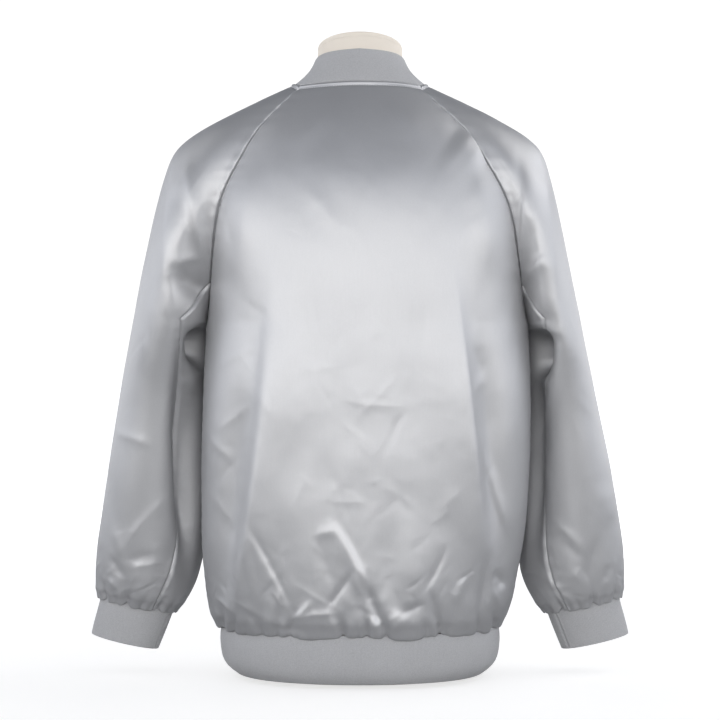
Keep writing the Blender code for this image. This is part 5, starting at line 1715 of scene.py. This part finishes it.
class JACKET_OT_form(Operator):
    """Cover the dress form and its neck plate."""

    bl_idname = "jacket.form"
    bl_label = "Dress form"

    def execute(self, context):
        sizes, colours = context.scene.jacket_sizes, context.scene.jacket_colours
        cover = cover_finish("cream_cotton", colours.cover)
        plate = cover_finish("cream_neck_plate", colours.cover)
        sides = sizes.form_sides
        top_z = FORM.rows[-1, 0]
        heights = np.append(np.linspace(FORM_FOOT_TOP, top_z - EDGE_RING, FORM_ROWS), top_z)
        rings = [form_ring(z, sides, inset) for z, inset in FORM_FOOT]
        rings += [form_ring(z, sides) for z in heights]
        torso = loft("form_cover", rings, cover)
        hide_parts("form_torso")
        gap, thick, corner = NECK_CAP_GAP, NECK_CAP_THICK, NECK_CAP_ROUND
        rings = [form_ring(top_z, sides) + (0, 0, gap + up) for up in (0.0, EDGE_RING)]
        for turn in np.radians(np.linspace(0, 90, 6)):
            inset = corner * (1 - math.cos(turn))
            rise = gap + thick - corner + corner * math.sin(turn)
            rings.append(form_ring(top_z, sides, inset) + (0, 0, rise))
        cap = loft("form_neck_plate", rings, plate)
        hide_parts("form_neck_cap")
        return {"FINISHED"}


def softbox(name, place, aim, size, power):
    lamp = bpy.data.lights.new(name, "AREA")
    lamp.shape = "RECTANGLE"
    lamp.size, lamp.size_y = size
    lamp.energy = power
    lamp.color = LAMP_COLOUR
    light = bpy.data.objects.new(name, lamp)
    light.location = place
    light.rotation_euler = (Vector(aim) - Vector(place)).to_track_quat("-Z", "Y").to_euler()
    light.visible_camera = False
    bpy.context.scene.collection.objects.link(light)


def studio_world():
    """A light tent: a white backdrop, soft light from the horizon and a dim bluish ceiling."""
    world = bpy.data.worlds.new("studio")
    bpy.context.scene.world = world
    world.use_nodes = True
    graph = Graph(world.node_tree)
    way = graph.node("ShaderNodeTexCoord")["Generated"]
    axes = graph.node("ShaderNodeSeparateXYZ", None, {"Vector": way})
    level = (axes["X"] * axes["X"] + axes["Y"] * axes["Y"] + 1e-6) ** 0.5
    facing = axes["Y"].size() / level
    ahead = (axes["Y"] / level).between(0.2, 0.9)
    low = 1.0 - axes["Z"].between(0.04, 0.80)
    ceiling = 0.13
    horizon = 1.5 + 0.12 * facing.between(0.15, 0.8) - 0.35 * ahead
    strength = ceiling + (horizon - ceiling) * low
    seen = graph.node("ShaderNodeLightPath")["Is Camera Ray"]
    background = world.node_tree.nodes["Background"]
    tint = graph.mix(low * (0.55 + 0.45 * facing), (0.87, 0.945, 1.12), (1.0, 0.995, 0.985))
    graph.feed(background.inputs["Color"], tint)
    graph.feed(background.inputs["Strength"], strength + (1.0 - strength) * seen + seen * 0.1)


def floor_finish(colour):
    """Grey floor with a painted glow, seen only by the camera, that makes it look pale and runs out into the
    white backdrop.
    """
    finish = Finish("grey_floor_painted_glow")
    where = finish.axes()
    away = (where["X"] ** 2.0 + where["Y"] ** 2.0) ** 0.5
    seen = finish.node("ShaderNodeLightPath")["Is Camera Ray"]
    grain = finish.speckle(30.0)
    # Painted glow: emission for camera rays only, 0.7 near the form and rising to full far out
    glow = (0.70 + 0.30 * away.between(0.3, 2.4)) * seen
    finish.set(
        Base_Color=finish.mix(grain, shade(colour, 0.99), colour),
        Roughness=0.9,
        Emission_Color=finish.mix(glow, (0.0, 0.0, 0.0), (1.0, 1.0, 1.0)),
        Emission_Strength=1.0,
    )
    return finish.material


class JACKET_OT_stage(Operator):
    """Lay the floor, set the lights and place the camera."""

    bl_idname = "jacket.stage"
    bl_label = "Stage"

    def execute(self, context):
        scene, settings = context.scene, context.scene.jacket_stage
        mesh = bpy.data.meshes.new("floor")
        turns = [2 * math.pi * i / FLOOR_SIDES for i in range(FLOOR_SIDES)]
        ring = [(FLOOR_REACH * math.cos(turn), FLOOR_REACH * math.sin(turn), -FLOOR_DROP) for turn in turns]
        mesh.from_pydata(ring, [], [list(range(FLOOR_SIDES))])
        mesh.materials.append(floor_finish(settings.floor))
        floor = bpy.data.objects.new("floor", mesh)
        scene.collection.objects.link(floor)
        studio_world()
        for face, start, power in (("back", 0, settings.panel_power), ("front", 180, settings.front_power)):
            for turn, share in PANEL_TURNS.items():
                away = math.radians(turn + start)
                place = (PANEL_DISTANCE * math.sin(away), -PANEL_DISTANCE * math.cos(away), PANEL_Z)
                name = "softbox_%s_%d" % (face, turn - min(PANEL_TURNS))
                softbox(name, place, PANEL_AIM, PANEL_SIZE, power * share)
        for side, power in OVERHEAD_POWER.items():
            x, y, z = OVERHEAD_PLACE
            softbox("softbox_over_" + SIDE_NAMES[side], (side * x, y, z), OVERHEAD_AIM, OVERHEAD_SIZE, power)
        camera = bpy.data.objects.new("camera", bpy.data.cameras.new("camera"))
        camera.data.lens = settings.lens
        camera.data.sensor_width = SENSOR_WIDTH
        camera.location = (0, -settings.camera_distance, settings.camera_height)
        camera.rotation_euler = (math.pi / 2, 0, 0)
        scene.collection.objects.link(camera)
        scene.camera = camera
        scene.view_settings.view_transform = "Standard"
        return {"FINISHED"}


OPERATORS = (
    JACKET_OT_satin, JACKET_OT_rib, JACKET_OT_stitching, JACKET_OT_zip, JACKET_OT_form, JACKET_OT_stage
)


class JACKET_PT_sidebar(Panel):
    """The jacket's sizes, colours and steps."""

    bl_idname = "JACKET_PT_sidebar"
    bl_label = "Satin bomber jacket"
    bl_space_type = "VIEW_3D"
    bl_region_type = "UI"
    bl_category = "Jacket"

    def draw(self, context):
        for group in (context.scene.jacket_sizes, context.scene.jacket_colours, context.scene.jacket_stage):
            box = self.layout.box()
            for name in group.__annotations__:
                box.prop(group, name)
        for operator in OPERATORS:
            self.layout.operator(operator.bl_idname)


GROUPS = {"jacket_sizes": JacketSizes, "jacket_colours": JacketColours, "jacket_stage": StageSettings}
CLASSES = (*GROUPS.values(), *OPERATORS, JACKET_PT_sidebar)


def register():
    for cls in CLASSES:
        bpy.utils.register_class(cls)
    for name, group in GROUPS.items():
        setattr(bpy.types.Scene, name, PointerProperty(type=group))


def unregister():
    for name in GROUPS:
        delattr(bpy.types.Scene, name)
    for cls in reversed(CLASSES):
        bpy.utils.unregister_class(cls)


def main():
    register()
    for operator in OPERATORS:
        group, name = operator.bl_idname.split(".")
        getattr(getattr(bpy.ops, group), name)()


if __name__ == "__main__":
    main()
